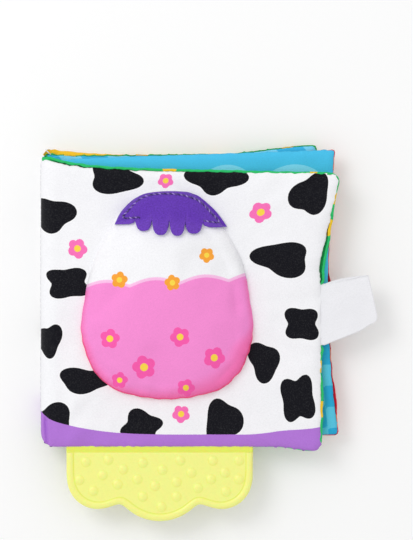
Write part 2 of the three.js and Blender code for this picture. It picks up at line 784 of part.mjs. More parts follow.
function ribbonSlot() {
  const depth = flangeStart + ribbonEndDepth + layerGap;
  return block(
    depth, loopRoot + 2 * layerGap, 2 * (ribbonThickness + layerGap),
    loopX - depth / 2, loopMiddleY, seamZ,
  );
}

function loopPlace(along, across) {
  const [rootTop, rootBottom, foldBottom, foldTop] = loopCornerShares;
  const [x, y] = [0, 1].map((axis) => {
    const top = mix(rootTop[axis], foldTop[axis], along);
    const bottom = mix(rootBottom[axis], foldBottom[axis], along);
    return mix(top, bottom, across) * loopRoot;
  });
  return { x: loopX + webStart + x, y: loopMiddleY + y };
}

// The ribbon's run out above the seam, its round fold and its run back below: how far along the loop,
// the ribbon's middle above the seam, and the way that its outside faces
function ribbonPath() {
  const halfGap = (along) => (ribbonGap + ribbonSwell * smooth(along)) / 2;
  const end = ribbonRunShares[ribbonRunShares.length - 1];
  const out = ribbonRunShares.map((along) => ({ along, radius: halfGap(along), angle: Math.PI / 2 }));
  const fold = ribbonBendShares.map((share) => (
    { along: end, radius: halfGap(end), angle: -share * (Math.PI / 2) }
  ));
  const back = [...out].reverse().map((place) => ({ ...place, angle: -Math.PI / 2 }));
  return [...out, ...fold, ...back];
}

function loopTag() {
  const path = ribbonPath();
  const outside = [];
  const inside = [];
  for (const { along, radius, angle } of path) {
    for (const share of ribbonAcrossShares) {
      const atEdge = share === 0 || share === 1;
      const { x, y } = loopPlace(atEdge ? along * ribbonEdgeShare : along, share);
      for (const [points, r] of [[inside, radius], [outside, radius + ribbonThickness]]) {
        points.push(new THREE.Vector3(x + r * Math.cos(angle), y, seamZ + r * Math.sin(angle)));
      }
    }
  }
  return slab(outside, inside, path.length, ribbonAcrossShares.length);
}

// Assembly

const colours = {
  white: 0xf6f6fa, green: 0x33c46d, yellow: 0xf9cb33, red: 0xe3203a, blue: 0x4cc0ee,
  wadding: 0xfbfbf8, film: 0xdfe4ea, pink: 0xf98ad4, purple: 0x5b2ca6, darkPurple: 0x3d1a78,
  lime: 0xeffc80, flange: 0xdcee66, ribbon: 0xf4f4f6, thread: 0xf2f2f4,
};
const clothRoughness = 0.85;
const feltRoughness = 0.95;
const filmRoughness = 0.3;
const teetherRoughness = 0.45;
const ribbonRoughness = 0.4;
const book = new THREE.Group();

function addPiece(name, geometry, colour, roughness = clothRoughness) {
  const material = new THREE.MeshStandardMaterial({ color: colours[colour], roughness, metalness: 0 });
  const mesh = new THREE.Mesh(geometry, material);
  mesh.name = name;
  book.add(mesh);
}

function coverWadding(sheet, layout) {
  return wadding(sheet, layout, coverWaddingLevel, coverWaddingThickness);
}

function leafWadding(sheet) {
  return wadding(sheet, padLayout, leafWaddingLevel, leafWaddingThickness);
}

addPiece("back_cover_outer_cloth", coverOuterCloth(backCover, backLayout), "white");
addPiece("back_cover_wadding", coverWadding(backCover, padLayout), "wadding");
addPiece("back_cover_crinkle_film", film(backCover, filmLayout, coverFilmLevel), "film", filmRoughness);
addPiece("back_cover_lining", coverLining(backCover, pageLayout), "yellow");

for (const [name, sheet, back] of [["back_leaf", backLeaf, "green"], ["front_leaf", frontLeaf, "red"]]) {
  addPiece(`${name}_back_cloth`, leafBackCloth(sheet), back);
  addPiece(`${name}_crinkle_film`, film(sheet, filmLayout, leafFilmLevel), "film", filmRoughness);
  addPiece(`${name}_wadding`, leafWadding(sheet), "wadding");
  addPiece(`${name}_front_cloth`, leafFrontCloth(sheet), "blue");
}

const seamSlots = [flangeSlot(), ribbonSlot()];
addPiece("front_cover_lining", cut(coverLining(frontCover, frontLiningLayout), ...seamSlots), "green");
addPiece("front_cover_crinkle_film", film(frontCover, liftedLayout, coverFilmLevel), "film", filmRoughness);
addPiece("front_cover_wadding", coverWadding(frontCover, liftedLayout), "wadding");
addPiece("front_cover_outer_cloth", cut(coverOuterCloth(frontCover, frontLayout), ...seamSlots), "white");
addPiece("head_cushion_cloth", headCloth(), "pink");
addPiece("head_cushion_filling", headFilling(), "wadding");
addPiece("forelock_felt", forelockFelt(), "purple", feltRoughness);
addPiece("forelock_stitching", forelockStitching(), "darkPurple");
addPiece("teether_flange", flange(), "flange", teetherRoughness);
addPiece("teether", teether(), "lime", teetherRoughness);
addPiece("loop_tag_ends", ribbonEnds(), "ribbon", ribbonRoughness);
addPiece("loop_tag", loopTag(), "ribbon", ribbonRoughness);
addPiece("spine_stitching", spineStitching(), "thread");

export default book;
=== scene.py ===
# %% [markdown]
# # A crinkle cloth book
#
# A baby's first book is sewn from printed cloth. Each cover and each leaf is two cloths sewn face to
# face, turned and filled with wadding and a sheet of crackling film. On the front is a padded cushion
# with a fringe of felt, a soft teether hangs from the bottom seam and a ribbon loop from the side.
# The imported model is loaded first. It says where every sheet lies and where the book bends, and each
# piece made below stands on it.

# %% Load the frame
import json
from types import SimpleNamespace

import bpy
import numpy as np
from mathutils.bvhtree import BVHTree
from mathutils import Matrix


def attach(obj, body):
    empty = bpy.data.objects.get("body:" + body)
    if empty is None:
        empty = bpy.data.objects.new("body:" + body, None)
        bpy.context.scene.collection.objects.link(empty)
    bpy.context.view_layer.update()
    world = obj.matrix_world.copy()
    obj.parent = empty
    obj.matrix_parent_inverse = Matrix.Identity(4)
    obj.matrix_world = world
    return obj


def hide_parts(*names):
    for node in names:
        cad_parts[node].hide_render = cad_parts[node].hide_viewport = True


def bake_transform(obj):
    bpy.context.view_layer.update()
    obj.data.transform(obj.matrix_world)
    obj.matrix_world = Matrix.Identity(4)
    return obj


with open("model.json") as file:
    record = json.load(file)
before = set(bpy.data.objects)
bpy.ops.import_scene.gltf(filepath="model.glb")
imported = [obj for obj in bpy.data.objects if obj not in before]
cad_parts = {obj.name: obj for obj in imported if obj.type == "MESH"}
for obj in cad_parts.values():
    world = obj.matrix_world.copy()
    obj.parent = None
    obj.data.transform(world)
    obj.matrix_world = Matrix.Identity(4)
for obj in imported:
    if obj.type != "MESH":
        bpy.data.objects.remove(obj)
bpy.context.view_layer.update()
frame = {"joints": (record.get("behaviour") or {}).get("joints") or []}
joints = {joint["name"]: joint for joint in frame["joints"]}

# %% [markdown]
# The shapes are worked out in millimetres, the unit that a sewing pattern is drawn in, and turned into
# metres when a mesh is made. All the sheets turn about one line, the fold of the spine, so its place
# comes from the frame.

# %% Units and the fold of the spine
MM = 0.001
fold_x, _, fold_z = [value / MM for value in joints["turn_front_cover"]["pos_m"]]
spine_radius = fold_z


def smooth(share):
    t = np.clip(share, 0, 1)
    return t * t * (3 - 2 * t)


def rising(value, start, run):
    """0 at start, then softly up to 1 over run, which may be negative."""
    return smooth((value - start) / run)


def bell(value, middle, width):
    return np.exp(-(((value - middle) / width) ** 2))


def mix(a, b, share):
    return a + (b - a) * share


print("fold of the spine at x", fold_x, "and z", fold_z)

# %% [markdown]
# ## Camera, floor and light
#
# The photograph looks straight down on the book through a long lens, so the camera hangs far above it.
# The picture is 413 by 540 pixels and its longer side fits the sensor's width. A long lens keeps the
# padded parts, which are nearer to it, from looking much larger than the pages.

# %% Camera
photo_pixel = 0.535
photo_zero = (180.65, 291)
picture_width, picture_height = 413, 540
lens, sensor = 180, 36
cover_level = 8


def photo_place(px, py):
    """Millimetres on the book from a place in the photograph."""
    return (px - photo_zero[0]) * photo_pixel, (photo_zero[1] - py) * photo_pixel


look_at = photo_place(picture_width / 2, picture_height / 2)
camera_height = cover_level + picture_height * photo_pixel * lens / sensor
camera_data = bpy.data.cameras.new("camera")
camera_data.lens = lens
camera_data.sensor_width = sensor
camera_data.clip_end = 2 * camera_height * MM
camera = bpy.data.objects.new("camera", camera_data)
camera.location = (look_at[0] * MM, look_at[1] * MM, camera_height * MM)
bpy.context.scene.collection.objects.link(camera)
bpy.context.scene.camera = camera
bpy.context.scene.view_settings.view_transform = "Standard"
print("camera", round(camera_height), "mm above the floor")

# %% [markdown]
# Small helpers keep the world and the materials readable. One adds a node, sets or links its inputs in
# order and gives back its first output, and another sets or links the inputs of a node by their names.
# The last one finds the rays that see the background: those of the camera, of a gloss and of glass.

# %% Node helpers
def feed(tree, socket, value):
    if isinstance(value, bpy.types.NodeSocket):
        tree.links.new(value, socket)
    else:
        socket.default_value = value


def add(tree, kind, *values, **settings):
    node = tree.nodes.new("ShaderNode" + kind)
    for name, value in settings.items():
        setattr(node, name, value)
    for socket, value in zip(node.inputs, values):
        feed(tree, socket, value)
    return node.outputs[0]


def math(tree, operation, *values):
    return add(tree, "Math", *values, operation=operation)


def set_inputs(tree, node, **values):
    """Sets or links inputs by name, with a low line for each space in the name."""
    for label, value in values.items():
        feed(tree, node.inputs[label.replace("_", " ")], value)
    return node


def new_material(name):
    material = bpy.data.materials.new(name)
    material.use_nodes = True
    return material, material.node_tree, material.node_tree.nodes["Principled BSDF"]


def background_rays(tree):
    path = add(tree, "LightPath").node
    seen, gloss, glass = (path.outputs[f"Is {kind} Ray"] for kind in ("Camera", "Glossy", "Transmission"))
    return math(tree, "MAXIMUM", math(tree, "MAXIMUM", seen, gloss), glass)


print("helpers ready")

# %% [markdown]
# A plain white floor shows the soft shadow that tells the eye that the book lies on something. One
# large lamp up to the left gives the cloth its shading, and the even sky fills the rest, so that a
# colour renders about as it is written.

# %% Floor and light
sky_strength, sky_colour = 0.955, (0.8, 0.8, 0.8, 1)
lamp_power = 6
lamp_place = (-0.75, 0.65, 1.15)
lamp_side = 0.7
floor_half = 3
floor_colour = (0.88, 0.88, 0.88, 1)
floor_lift = 0.14


def new_world():
    world = bpy.data.worlds.new("studio")
    world.use_nodes = True
    tree = world.node_tree
    tree.nodes.clear()
    strength = add(tree, "MapRange", background_rays(tree), 0.0, 1.0, sky_strength, 1.0)
    sky = add(tree, "Background", sky_colour, strength)
    tree.links.new(sky, tree.nodes.new("ShaderNodeOutputWorld").inputs["Surface"])
    return world


def floor_paint():
    """Pale paint. Seen by the camera or in a gloss it is lifted to white, but it keeps its shadows."""
    material, tree, shader = new_material("pale_floor")
    set_inputs(
        tree, shader, Base_Color=floor_colour, Roughness=0.9, Specular_IOR_Level=0.1,
        Emission_Color=(1, 1, 1, 1),
        Emission_Strength=math(tree, "MULTIPLY", background_rays(tree), floor_lift),
    )
    return material


bpy.context.scene.world = new_world()
lamp_data = bpy.data.lights.new("soft_lamp", "AREA")
lamp_data.energy = lamp_power
lamp_data.size = lamp_side
lamp = bpy.data.objects.new("soft_lamp", lamp_data)
lamp.location = lamp_place
lamp.rotation_mode = "QUATERNION"
lamp.rotation_quaternion = (-lamp.location).to_track_quat("-Z", "Y")
bpy.context.scene.collection.objects.link(lamp)

floor_mesh = bpy.data.meshes.new("floor")
floor_corners = [(x * floor_half, y * floor_half, 0) for x, y in ((-1, -1), (1, -1), (1, 1), (-1, 1))]
floor_mesh.from_pydata(floor_corners, [], [(0, 1, 2, 3)])
floor_mesh.materials.append(floor_paint())
floor = bpy.data.objects.new("floor", floor_mesh)
bpy.context.scene.collection.objects.link(floor)
print("sky", sky_strength, "and a lamp of", lamp_power, "watts")

# %% [markdown]
# ## How a sheet lies
#
# Every sheet has flat places of its own: s runs from the fold of the spine to the fore-edge, and v up
# from its middle. The closed book is not square: the front cover sags and its fore-edge leans out at
# the top, and the leaves have slipped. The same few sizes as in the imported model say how.

# %% The four sheets
cover_reach, cover_height = 149.3, 147.1
rise_start, rise_run = 0.66, 0.34
droop_start, droop_run = 0.84, 0.14
# What a sheet has unless it says otherwise, in millimetres: its lean and bends, the radii of its
# corners, its lip past the cloth that it is sewn to, and how it is drawn in by its seams
flat_values = {
    "middle": 0, "tilt": 0, "corner_rise": 0, "shoulder": 0, "shoulder_run": 5, "fore_dip": 0,
    "corner_droop": 0, "top_flare": 0, "bottom_flare": 0, "flare_start": 0, "flare_power": 1,
    "tuck": 4, "corner": 4, "fore_top": 4, "spine_top": 4, "inner_top": 4, "lifted": False,
    "show": 1.3, "tucked_hem": 0, "tucked_top": 0, "lip_peaks": (), "scallop": 0.17, "gape": 0,
    "crumple": 0, "corner_pull": 0, "corner_up": 0, "seed": 1,
}


def sheet(side, reach, height, **own):
    return SimpleNamespace(**{**flat_values, **own, "side": side, "reach": reach, "half": height / 2})


back_cover = sheet(
    -1, cover_reach, 145, shoulder=3.4, shoulder_run=16, fore_dip=3, crumple=1.6, corner_pull=1.7,
    spine_top=7, inner_top=2, seed=2,
)
back_leaf = sheet(
    -1, 146.8, 150.2, middle=-3.6, tilt=2.2, corner_rise=3.9, shoulder=1.2, shoulder_run=12, corner=2,
    fore_top=2, show=0.6, scallop=0.09, crumple=1.4, corner_pull=0.5, corner_up=1, seed=3,
)
front_leaf = sheet(
    1, 153.3, 150.2, middle=-5, tilt=5.2, top_flare=3.5, bottom_flare=5.5, flare_power=2,
    shoulder=-2.5, shoulder_run=9, corner_droop=1.6, corner=2, fore_top=1.2, show=0.4, tucked_top=1.1,
    scallop=0.09, lip_peaks=((4, 1.3, 4), (-56, 1.1, 9)), seed=4,
)
front_cover = sheet(
    1, cover_reach, cover_height, middle=-9.2, tuck=7.5, lifted=True, shoulder=6.9, shoulder_run=17,
    fore_dip=1.8, corner_droop=2.2, top_flare=10.7, flare_start=0.3, flare_power=1.2, tucked_hem=2.6,
    gape=1.4, fore_top=6, spine_top=1.5, inner_top=1.2, corner_pull=1.9, corner_up=0.9, seed=7,
)


def lie(sheet, s, v):
    """Where a flat place of a sheet lies in the closed book, seen from above."""
    along = s / sheet.reach
    above = np.maximum(0, v / sheet.half)
    below = np.maximum(0, -v / sheet.half)
    start = sheet.flare_start
    flare_top = np.maximum(0, (above - start) / (1 - start)) ** sheet.flare_power
    flare_bottom = below ** sheet.flare_power
    x = fold_x + s + (sheet.top_flare * flare_top + sheet.bottom_flare * flare_bottom) * along**2
    y = v + sheet.middle + sheet.tilt * along
    y = y + above * (sheet.shoulder * np.exp(-s / sheet.shoulder_run) - sheet.fore_dip * along)
    y = y + above * sheet.corner_rise * rising(along, rise_start, rise_run)
    y = y - below * sheet.corner_droop * rising(along, droop_start, droop_run)
    return x, y


print("sheets reach", [one.reach for one in (back_cover, back_leaf, front_leaf, front_cover)])

# %% [markdown]
# Levels count from the middle of the book's thickness outwards. A sheet is squeezed into the spine's
# half round near the fold. The front cover is fuller in its middle, and its upper outer corner has
# curled up off the pages.

# %% Levels, squeeze, crown and curl
leaf_inner, leaf_seam, leaf_outer = 0.3, 2.1, 3.9
cover_inner, cover_seam, cover_outer = 4.5, 7.4, 9.5
cloth_thickness = 0.45
crown_height = 1.6
curl_height, curl_run = 2.6, 60
front_top = front_cover.middle + front_cover.half
front_fore = fold_x + front_cover.reach
# Folds of the front cover: out from the spine, up from the middle, length, width, height and turn
soft_folds = (
    (12.7, -56.8, 42, 10, 1.3, 0.9), (22.7, -64.8, 30, 9, 1.1, 0.35),
    (135.7, 25.2, 30, 12, 1.2, -0.5), (134.7, -34.8, 34, 12, 1.0, 0.45),
)
# Pleats of its lower corner at the spine: out from the spine at pleat_foot, width and height
pleats = ((1.7, 0.6, 1.1), (3.3, 0.8, -1.5), (5.2, 0.9, 0.6))
pleat_foot, pleat_lean = -63, 15
pleat_end, pleat_run = -54, 6


def squeeze(s):
    return np.sqrt(1 - (1 - np.clip(s / spine_radius, 0, 1)) ** 2)


def crown(s, v):
    across = s / front_cover.reach * 2 - 1
    return crown_height * np.maximum(0, 1 - across**2) * np.maximum(0, 1 - (v / front_cover.half) ** 2)


def curl(x, y):
    return curl_height * smooth(1 - np.hypot(x - front_fore, y - front_top) / curl_run)


def fold_relief(x, y):
    total = 0
    for out, up, length, width, height, turn in soft_folds:
        dx, dy = x - fold_x - out, y - front_cover.middle - up
        along = (dx * np.cos(turn) + dy * np.sin(turn)) / (length / 2)
        across = (dy * np.cos(turn) - dx * np.sin(turn)) / (width / 2)
        total = total + height * np.exp(-(across**2) - along**2)
    return total


def corner_pleats(s, v):
    """Small upright pleats where the front cover's lower corner is gathered at the spine."""
    leaning = s + (v - pleat_foot) / pleat_lean
    total = sum(height * bell(leaning, out, width) for out, width, height in pleats)
    return total * rising(v, pleat_end, -pleat_run)


def cover_top(x, y):
    """The front cover's outer face, under what is sewn on it."""
    return fold_z + cover_outer + crown(x - fold_x, y - front_cover.middle) + curl(x, y) + fold_relief(x, y)


crown_top = float(cover_top(0.0, front_cover.middle))
print("top of the front cover in its middle:", round(crown_top, 1), "mm")

# %% [markdown]
# ## Meshes from grids
#
# A sheet could be a plane with a Cloth or a Subdivision modifier. Here its points are worked out one by
# one instead, because the seams need fine rows of points along the edges and the printed patterns need
# to know how far each point is from them. The grid is square, and its rows bend round the sheet's round
# corners like the rings of a bath mat, close together at the edge and wide in the middle.

# %% Rings of a square grid
step_growth = 1.12
# How far round a ring the fore-edge, the top and the spine start, from the corner at the lower left
fore_edge, top_edge, spine_edge = 0.25, 0.5, 0.75


def widening(fine, coarse, run):
    """Distances from an edge, in steps that grow from fine to coarse."""
    places, step = [0.0], fine
    while places[-1] < run:
        places.append(places[-1] + step)
        step = min(coarse, step * step_growth)
    return np.array(places)


def square_rings(last):
    """A square grid as rings round its middle. Returns for each point its two numbers from the middle,
    its ring, from 0 outside to last in the middle, whether it is on an upright side, how far along
    that side it is, from -1 to 1, and how far round the ring, from 0 at the lower left corner to 1."""
    index = np.arange(-last, last + 1)
    a, b = np.meshgrid(index, index, indexing="ij")
    size = np.maximum(abs(a), abs(b))
    upright = abs(a) >= abs(b)
    p = np.where(upright, b, a) / np.maximum(size, 1)
    forward, back = (1 + p) / 2, (1 - p) / 2
    turn = np.where(upright, np.where(a > 0, 1 + forward, 3 + back), np.where(b > 0, 2 + back, forward))
    return a, b, last - size, upright, p, turn / 4


print("steps from an edge:", widening(0.3, 0.9, 3).round(2))

# %% Panel with round corners
corner_room, least_radius = 0.9, 1e-6


def side_of_ring(p, half_along, half_out, start, end):
    """From the middle of one round corner to the middle of the next, with p from -1 to 1."""
    eighth = np.pi / 4
    straight = 2 * half_along - start - end
    run = (p + 1) / 2 * (eighth * (start + end) + straight)
    first = run - eighth * start
    last = first - straight
    low, high = np.clip(first / start, -eighth, 0), np.clip(last / end, 0, eighth)
    along = -half_along + start + start * np.sin(low) + np.clip(first, 0, straight) + end * np.sin(high)
    out = half_out - np.where(first < 0, start * (1 - np.cos(low)), end * (1 - np.cos(high)))
    return along, out


def panel(left, right, bottom, top, corners, middle_step):
    """A grid whose ring k has these four sides, with more rings in to its middle about middle_step
    apart. corners gives the outer radius at the lower left, lower right, upper right and upper left.
    Returns s, v, the ring, the inset and the turn of each point, and the shares of the added rings."""
    share = np.linspace(0, 1, int(top[-1] / middle_step) + 1)[1:]
    middle = (left[-1] + right[-1]) / 2
    left, right, bottom, top = [
        np.concatenate([edge, mix(edge[-1], goal, share)])
        for edge, goal in ((left, middle), (right, middle), (bottom, 0), (top, 0))
    ]
    a, b, ring, upright, p, turn = square_rings(len(left) - 1)
    centre = ((left + right) / 2)[ring], ((bottom + top) / 2)[ring]
    half = ((right - left) / 2)[ring], ((top - bottom) / 2)[ring]
    inset = (right[0] - right)[ring]
    room = np.minimum(*half) * corner_room
    r = [np.maximum(np.minimum(radius - inset, room), least_radius) for radius in corners]
    start = np.where(upright, np.where(a > 0, r[1], r[0]), np.where(b > 0, r[3], r[0]))
    end = np.where(upright, np.where(a > 0, r[2], r[3]), np.where(b > 0, r[2], r[1]))
    along, out = side_of_ring(
        p, np.where(upright, half[1], half[0]), np.where(upright, half[0], half[1]), start, end
    )
    out = out * np.sign(np.where(upright, a, b))
    s = centre[0] + np.where(upright, out, along)
    v = centre[1] + np.where(upright, along, out)
    return s, v, ring, inset, turn, share


print("a ring has its corners at", (0, fore_edge, top_edge, spine_edge), "of the way round")

# %% [markdown]
# A cloth has two faces, so each grid becomes a closed shell: the face that shows, the same face moved
# in by the cloth's thickness along its normals, and a strip round the edge that joins the two.

# %% A mesh from points
def place_object(name, points, faces, values=None):
    """A smooth mesh object from points in millimetres. values are named numbers for each point."""
    mesh = bpy.data.meshes.new(name)
    flat = faces.ravel()
    mesh.vertices.add(len(points))
    mesh.vertices.foreach_set("co", (points * MM).astype(np.float32).ravel())
    mesh.loops.add(len(flat))
    mesh.loops.foreach_set("vertex_index", flat.astype(np.int32))
    mesh.polygons.add(len(faces))
    mesh.polygons.foreach_set("loop_start", np.arange(0, len(flat), 4, dtype=np.int32))
    mesh.update(calc_edges=True)
    mesh.validate()
    mesh.shade_smooth()
    for label, numbers in (values or {}).items():
        kind, field = ("FLOAT_VECTOR", "vector") if numbers.ndim == 2 else ("FLOAT", "value")
        made = mesh.attributes.new(label, kind, "POINT")
        made.data.foreach_set(field, numbers.astype(np.float32).ravel())
    piece = bpy.data.objects.new(name, mesh)
    bpy.context.scene.collection.objects.link(piece)
    return piece


print("points in millimetres, meshes in metres:", MM)

# %% Shells and closed bodies
least_length = 1e-9


def grid_faces(rows, columns, first=0, flip=False):
    at = first + np.arange(rows * columns).reshape(rows, columns)
    quads = np.stack([at[:-1, :-1], at[1:, :-1], at[1:, 1:], at[:-1, 1:]], -1).reshape(-1, 4)
    return quads[:, ::-1] if flip else quads


def rim_faces(rows, columns):
    """Joins the edges of two grids of one layout, the second one's points after the first's."""
    at = np.arange(rows * columns).reshape(rows, columns)
    loop = np.concatenate([at[:-1, 0], at[-1, :-1], at[:0:-1, -1], at[0, :0:-1]])
    after = np.roll(loop, -1)
    low = rows * columns
    return np.stack([loop, loop + low, after + low, after], -1)


def grid_normals(points):
    normal = np.cross(np.gradient(points, axis=0), np.gradient(points, axis=1))
    return normal / np.maximum(np.linalg.norm(normal, axis=-1, keepdims=True), least_length)


def body_between(name, upper, lower, values=None):
    """A closed body between two grids, the first of which looks up."""
    rows, columns = upper.shape[:2]
    points = np.concatenate([upper.reshape(-1, 3), lower.reshape(-1, 3)])
    faces = np.concatenate([
        grid_faces(rows, columns), grid_faces(rows, columns, rows * columns, flip=True),
        rim_faces(rows, columns),
    ])
    twice = {label: np.concatenate([one.reshape(rows * columns, -1)] * 2).squeeze()
             for label, one in (values or {}).items()}
    return place_object(name, points, faces, twice)


def shell(name, face, thickness, looks_up, values=None):
    """A cloth whose visible face is the grid."""
    inside = face - (thickness if looks_up else -thickness) * grid_normals(face)
    upper, lower = (face, inside) if looks_up else (inside, face)
    return body_between(name, upper, lower, values)


print("a shell of 3 by 3 points has", 2 * len(grid_faces(3, 3)) + len(rim_faces(3, 3)), "faces")

# %% [markdown]
# Cloth is never quite even. The unevenness is a sum of many long waves with seeded directions, so it is
# the same on every run. Along a seam the waves run round the edge instead, and die away from it.

# %% Ripples
waves_across, waves_round = 14, 12


def ripples(x, y, length, seed):
    draw = np.random.default_rng(seed)
    total = 0
    for _ in range(waves_across):
        turn, phase = draw.uniform(0, 2 * np.pi, 2)
        rate = 2 * np.pi / (length * draw.uniform(0.7, 1.5))
        total = total + np.sin(rate * (x * np.cos(turn) + y * np.sin(turn)) + phase)
    return total * np.sqrt(2 / waves_across)


def seam_ripples(turn, fewest, most, seed):
    draw = np.random.default_rng(seed)
    total = 0
    for waves in draw.integers(fewest, most, waves_round):
        total = total + np.sin(2 * np.pi * waves * turn + draw.uniform(0, 2 * np.pi))
    return total * np.sqrt(2 / waves_round)


print("ripples of", waves_across, "waves across a sheet and", waves_round, "round its edge")

# %% [markdown]
# ## Cloths
#
# A cover's outer cloth rolls over its wadding at the three free edges and meets the lining in a seam
# half way down. The lining is cut a little larger, so it shows round the edge as a thin lip. The
# stitches of the seam draw both cloths in, which gives the fine puckers and the long soft waves.

# %% Profile of an edge
cover_roll, leaf_roll = 5, 4
lip_share, least_lip = 0.45, 0.01
inner_start = 16
plain_corner = 4
sunk_root = 0.8
above_floor = 0.05


def rolled_edge(w, roll, show):
    """For places w along the cloth from its sewn edge: how far in from the outline, the share of the
    way from the seam's level to the face, and the height of the lip over the seam. show is how far
    the cloth stands out past the one that it is sewn to."""
    radius = max(show * lip_share, least_lip)
    flat = max(show - radius, 0)
    turn = np.clip((w - flat) / radius, 0, np.pi / 2)
    after = np.maximum(0, w - flat - radius * np.pi / 2)
    angle = np.minimum(after / roll, np.pi / 2)
    beyond = np.maximum(0, after - roll * np.pi / 2)
    out = np.clip(w, 0, flat) + radius * np.sin(turn)
    return roll * (1 - np.cos(angle)) + beyond - out, np.sin(angle), radius * np.cos(turn)


def cloth_grid(sheet, roll, show, root, fine, coarse, middle_step, round_spine):
    """The panel of a cloth: s, v, the distance from its sewn edge and how far round it is."""
    w = widening(fine, coarse, inner_start)
    inset, _, _ = rolled_edge(w, roll, show)
    past = np.maximum(0, w - spine_radius * np.pi / 2)
    rounded = spine_radius * (1 - np.cos(np.minimum(w / spine_radius, np.pi / 2))) + past
    left, right = root + (rounded if round_spine else w), sheet.reach - inset
    bottom, top = inset - sheet.half, sheet.half - inset
    corners = (sheet.tuck, sheet.corner, sheet.fore_top, sheet.spine_top if round_spine else sheet.inner_top)
    s, v, ring, depth, turn, share = panel(left, right, bottom, top, corners, middle_step)
    distance = np.concatenate([w, w[-1] + share * top[-1]])[ring]
    corner = np.maximum(np.where(v < 0, sheet.tuck, plain_corner), depth)
    up_the_spine = np.where(turn > spine_edge, np.maximum(0, sheet.half - abs(v) - corner), 0)
    return s, v, distance + up_the_spine, turn


print("edges roll over", cover_roll, "mm on a cover and", leaf_roll, "mm on a leaf")

# %% [markdown]
# The lip is the part of the book that shows best how it was sewn. It is uneven, it stands open where
# the front cover's corner curls away, it is pulled shut near the corners, and it goes in under the
# ribbon. How far round a place is, from 0 to 1, tells the sides apart: the bottom edge comes first, then
# the fore-edge, the top and the spine.

# %% Lip of a lining
seam_fade = 3
lip_reach, lip_waves, lip_waviness, lip_seed = 2, (5, 26), 0.3, 50
# Each pair is a place up the fore-edge where a change starts, and the run over which it grows
closed_above, closed_below, calm_above = (48, 18), (-42, -24), (36, 22)
most_closed, corner_open, corner_turn = 1.1, 0.35, 0.01
ribbon_low, ribbon_high, ribbon_fade, under_ribbon = -21, 14.5, 2.5, 0.5
gape_middle, gape_width = 26, 11
# The top edge is moved up near the spine and down near the fore-edge
top_up, up_until, top_down, down_from = 0.55, (10, 80), 0.65, (85, 50)
top_band, top_fade = 12, 6
hem_in, hem_out, top_in, top_out, spine_out = 0.006, 0.012, 0.015, 0.012, 0.004


def open_lip(sheet, s, v, turn, at_lip):
    """For the front cover's lining: what is added to its lip, what is left of the lip's waves and of
    its height, and how its top edge is moved up."""
    by_ribbon = rising(v, ribbon_low, ribbon_fade) * rising(v, ribbon_high, -ribbon_fade)
    closed = most_closed * rising(v, *closed_above) * (1 - corner_open * bell(turn, top_edge, corner_turn))
    shut = sheet.show * (closed + rising(v, *closed_below)) + (sheet.show + under_ribbon) * by_ribbon
    added = sheet.gape * bell(v, gape_middle, gape_width) - shut
    up = top_up - top_up * rising(s, *up_until) - top_down * rising(s, *down_from)
    up = up * at_lip * rising(v, sheet.half - top_band, top_fade)
    return added, 1 - rising(v, *calm_above), 1 - by_ribbon, up


def lip_shift(sheet, s, v, w, turn):
    """How the lip of a cloth is moved out and up, and what is left of its height."""
    at_lip = np.exp(-np.maximum(0, w - lip_reach) / seam_fade)
    out = sheet.show * lip_waviness * seam_ripples(turn, *lip_waves, sheet.seed + lip_seed)
    for middle, height, width in sheet.lip_peaks:
        out = out + height * bell(v, middle, width)
    up, kept = 0, 1
    if sheet.gape:
        added, waves_left, kept, up = open_lip(sheet, s, v, turn, at_lip)
        out = out * waves_left + added
    in_hem = rising(turn, 0, hem_in) * rising(turn, fore_edge + hem_out, -hem_out)
    in_top = rising(turn, top_edge, top_in) * rising(turn, spine_edge, -top_out)
    up = up + np.exp(-w / seam_fade) * sheet.tucked_hem * in_hem - at_lip * sheet.tucked_top * in_top
    return at_lip * out, up, kept * (1 - rising(turn, spine_edge, spine_out))


print("lips of", [one.show for one in (back_leaf, front_leaf, front_cover)], "mm")

# %% [markdown]
# A cloth is then laid as its sheet lies and lifted to its level. The stitches of the seam gather it in
# puckers close to the edge, the wadding gives it long waves and soft hollows further in, and the film
# fine creases. At the spine's upper corner it is pulled in and crumpled.

# %% Puckers and hollows
pucker_waves, long_waves = (90, 150), (16, 44)
wave_run, wave_fade, inside_run = 4, 13, 10
hollow_length, crease_length = 42, 11


def relief_of(relief, x, y, w, turn, seed):
    inside = rising(w, 0, inside_run)
    pucker = relief.pucker * np.exp(-w / seam_fade) * seam_ripples(turn, *pucker_waves, seed)
    near_seam = np.exp(-w / wave_fade) * rising(w, 0, wave_run)
    wave = relief.wave * near_seam * seam_ripples(turn, *long_waves, seed + 1)
    hollow = relief.hollow * inside * ripples(x, y, hollow_length, seed + 2)
    crease = relief.crease * inside * ripples(x, y, crease_length, seed + 3)
    return pucker + wave + hollow + crease


print("puckers of up to", pucker_waves[1], "waves round a cloth, hollows", hollow_length, "mm long")

# %% One cloth of a sheet
scallop_waves, slow_scallops, slow_seed = (170, 230), (40, 90), 20
least_s, free_from, fore_run, hem_share = 0.3, 0.6, 40, 0.1
gape_in, gape_level, gape_half, gape_power = 0.9, 24, 8.5, 1.4
sunk_start, sunk_run = 0.002, 0.006
# The crumpled upper corner at the spine: its size, and the length and seed of its waves
corner_reach, corner_fade, corner_band, corner_run = 2, 5, 5, 4
crumple_up, crumple_out = (4, 10), (3.5, 9)


def crumpled(sheet, corner, x, y, z):
    """The cloth moved up and out at the crumpled corner."""
    y = y + corner * (sheet.corner_up + 0.5 * sheet.crumple * ripples(x, y, *crumple_up))
    return y, z + corner * sheet.crumple * (2 + 0.6 * ripples(x, y, *crumple_out))


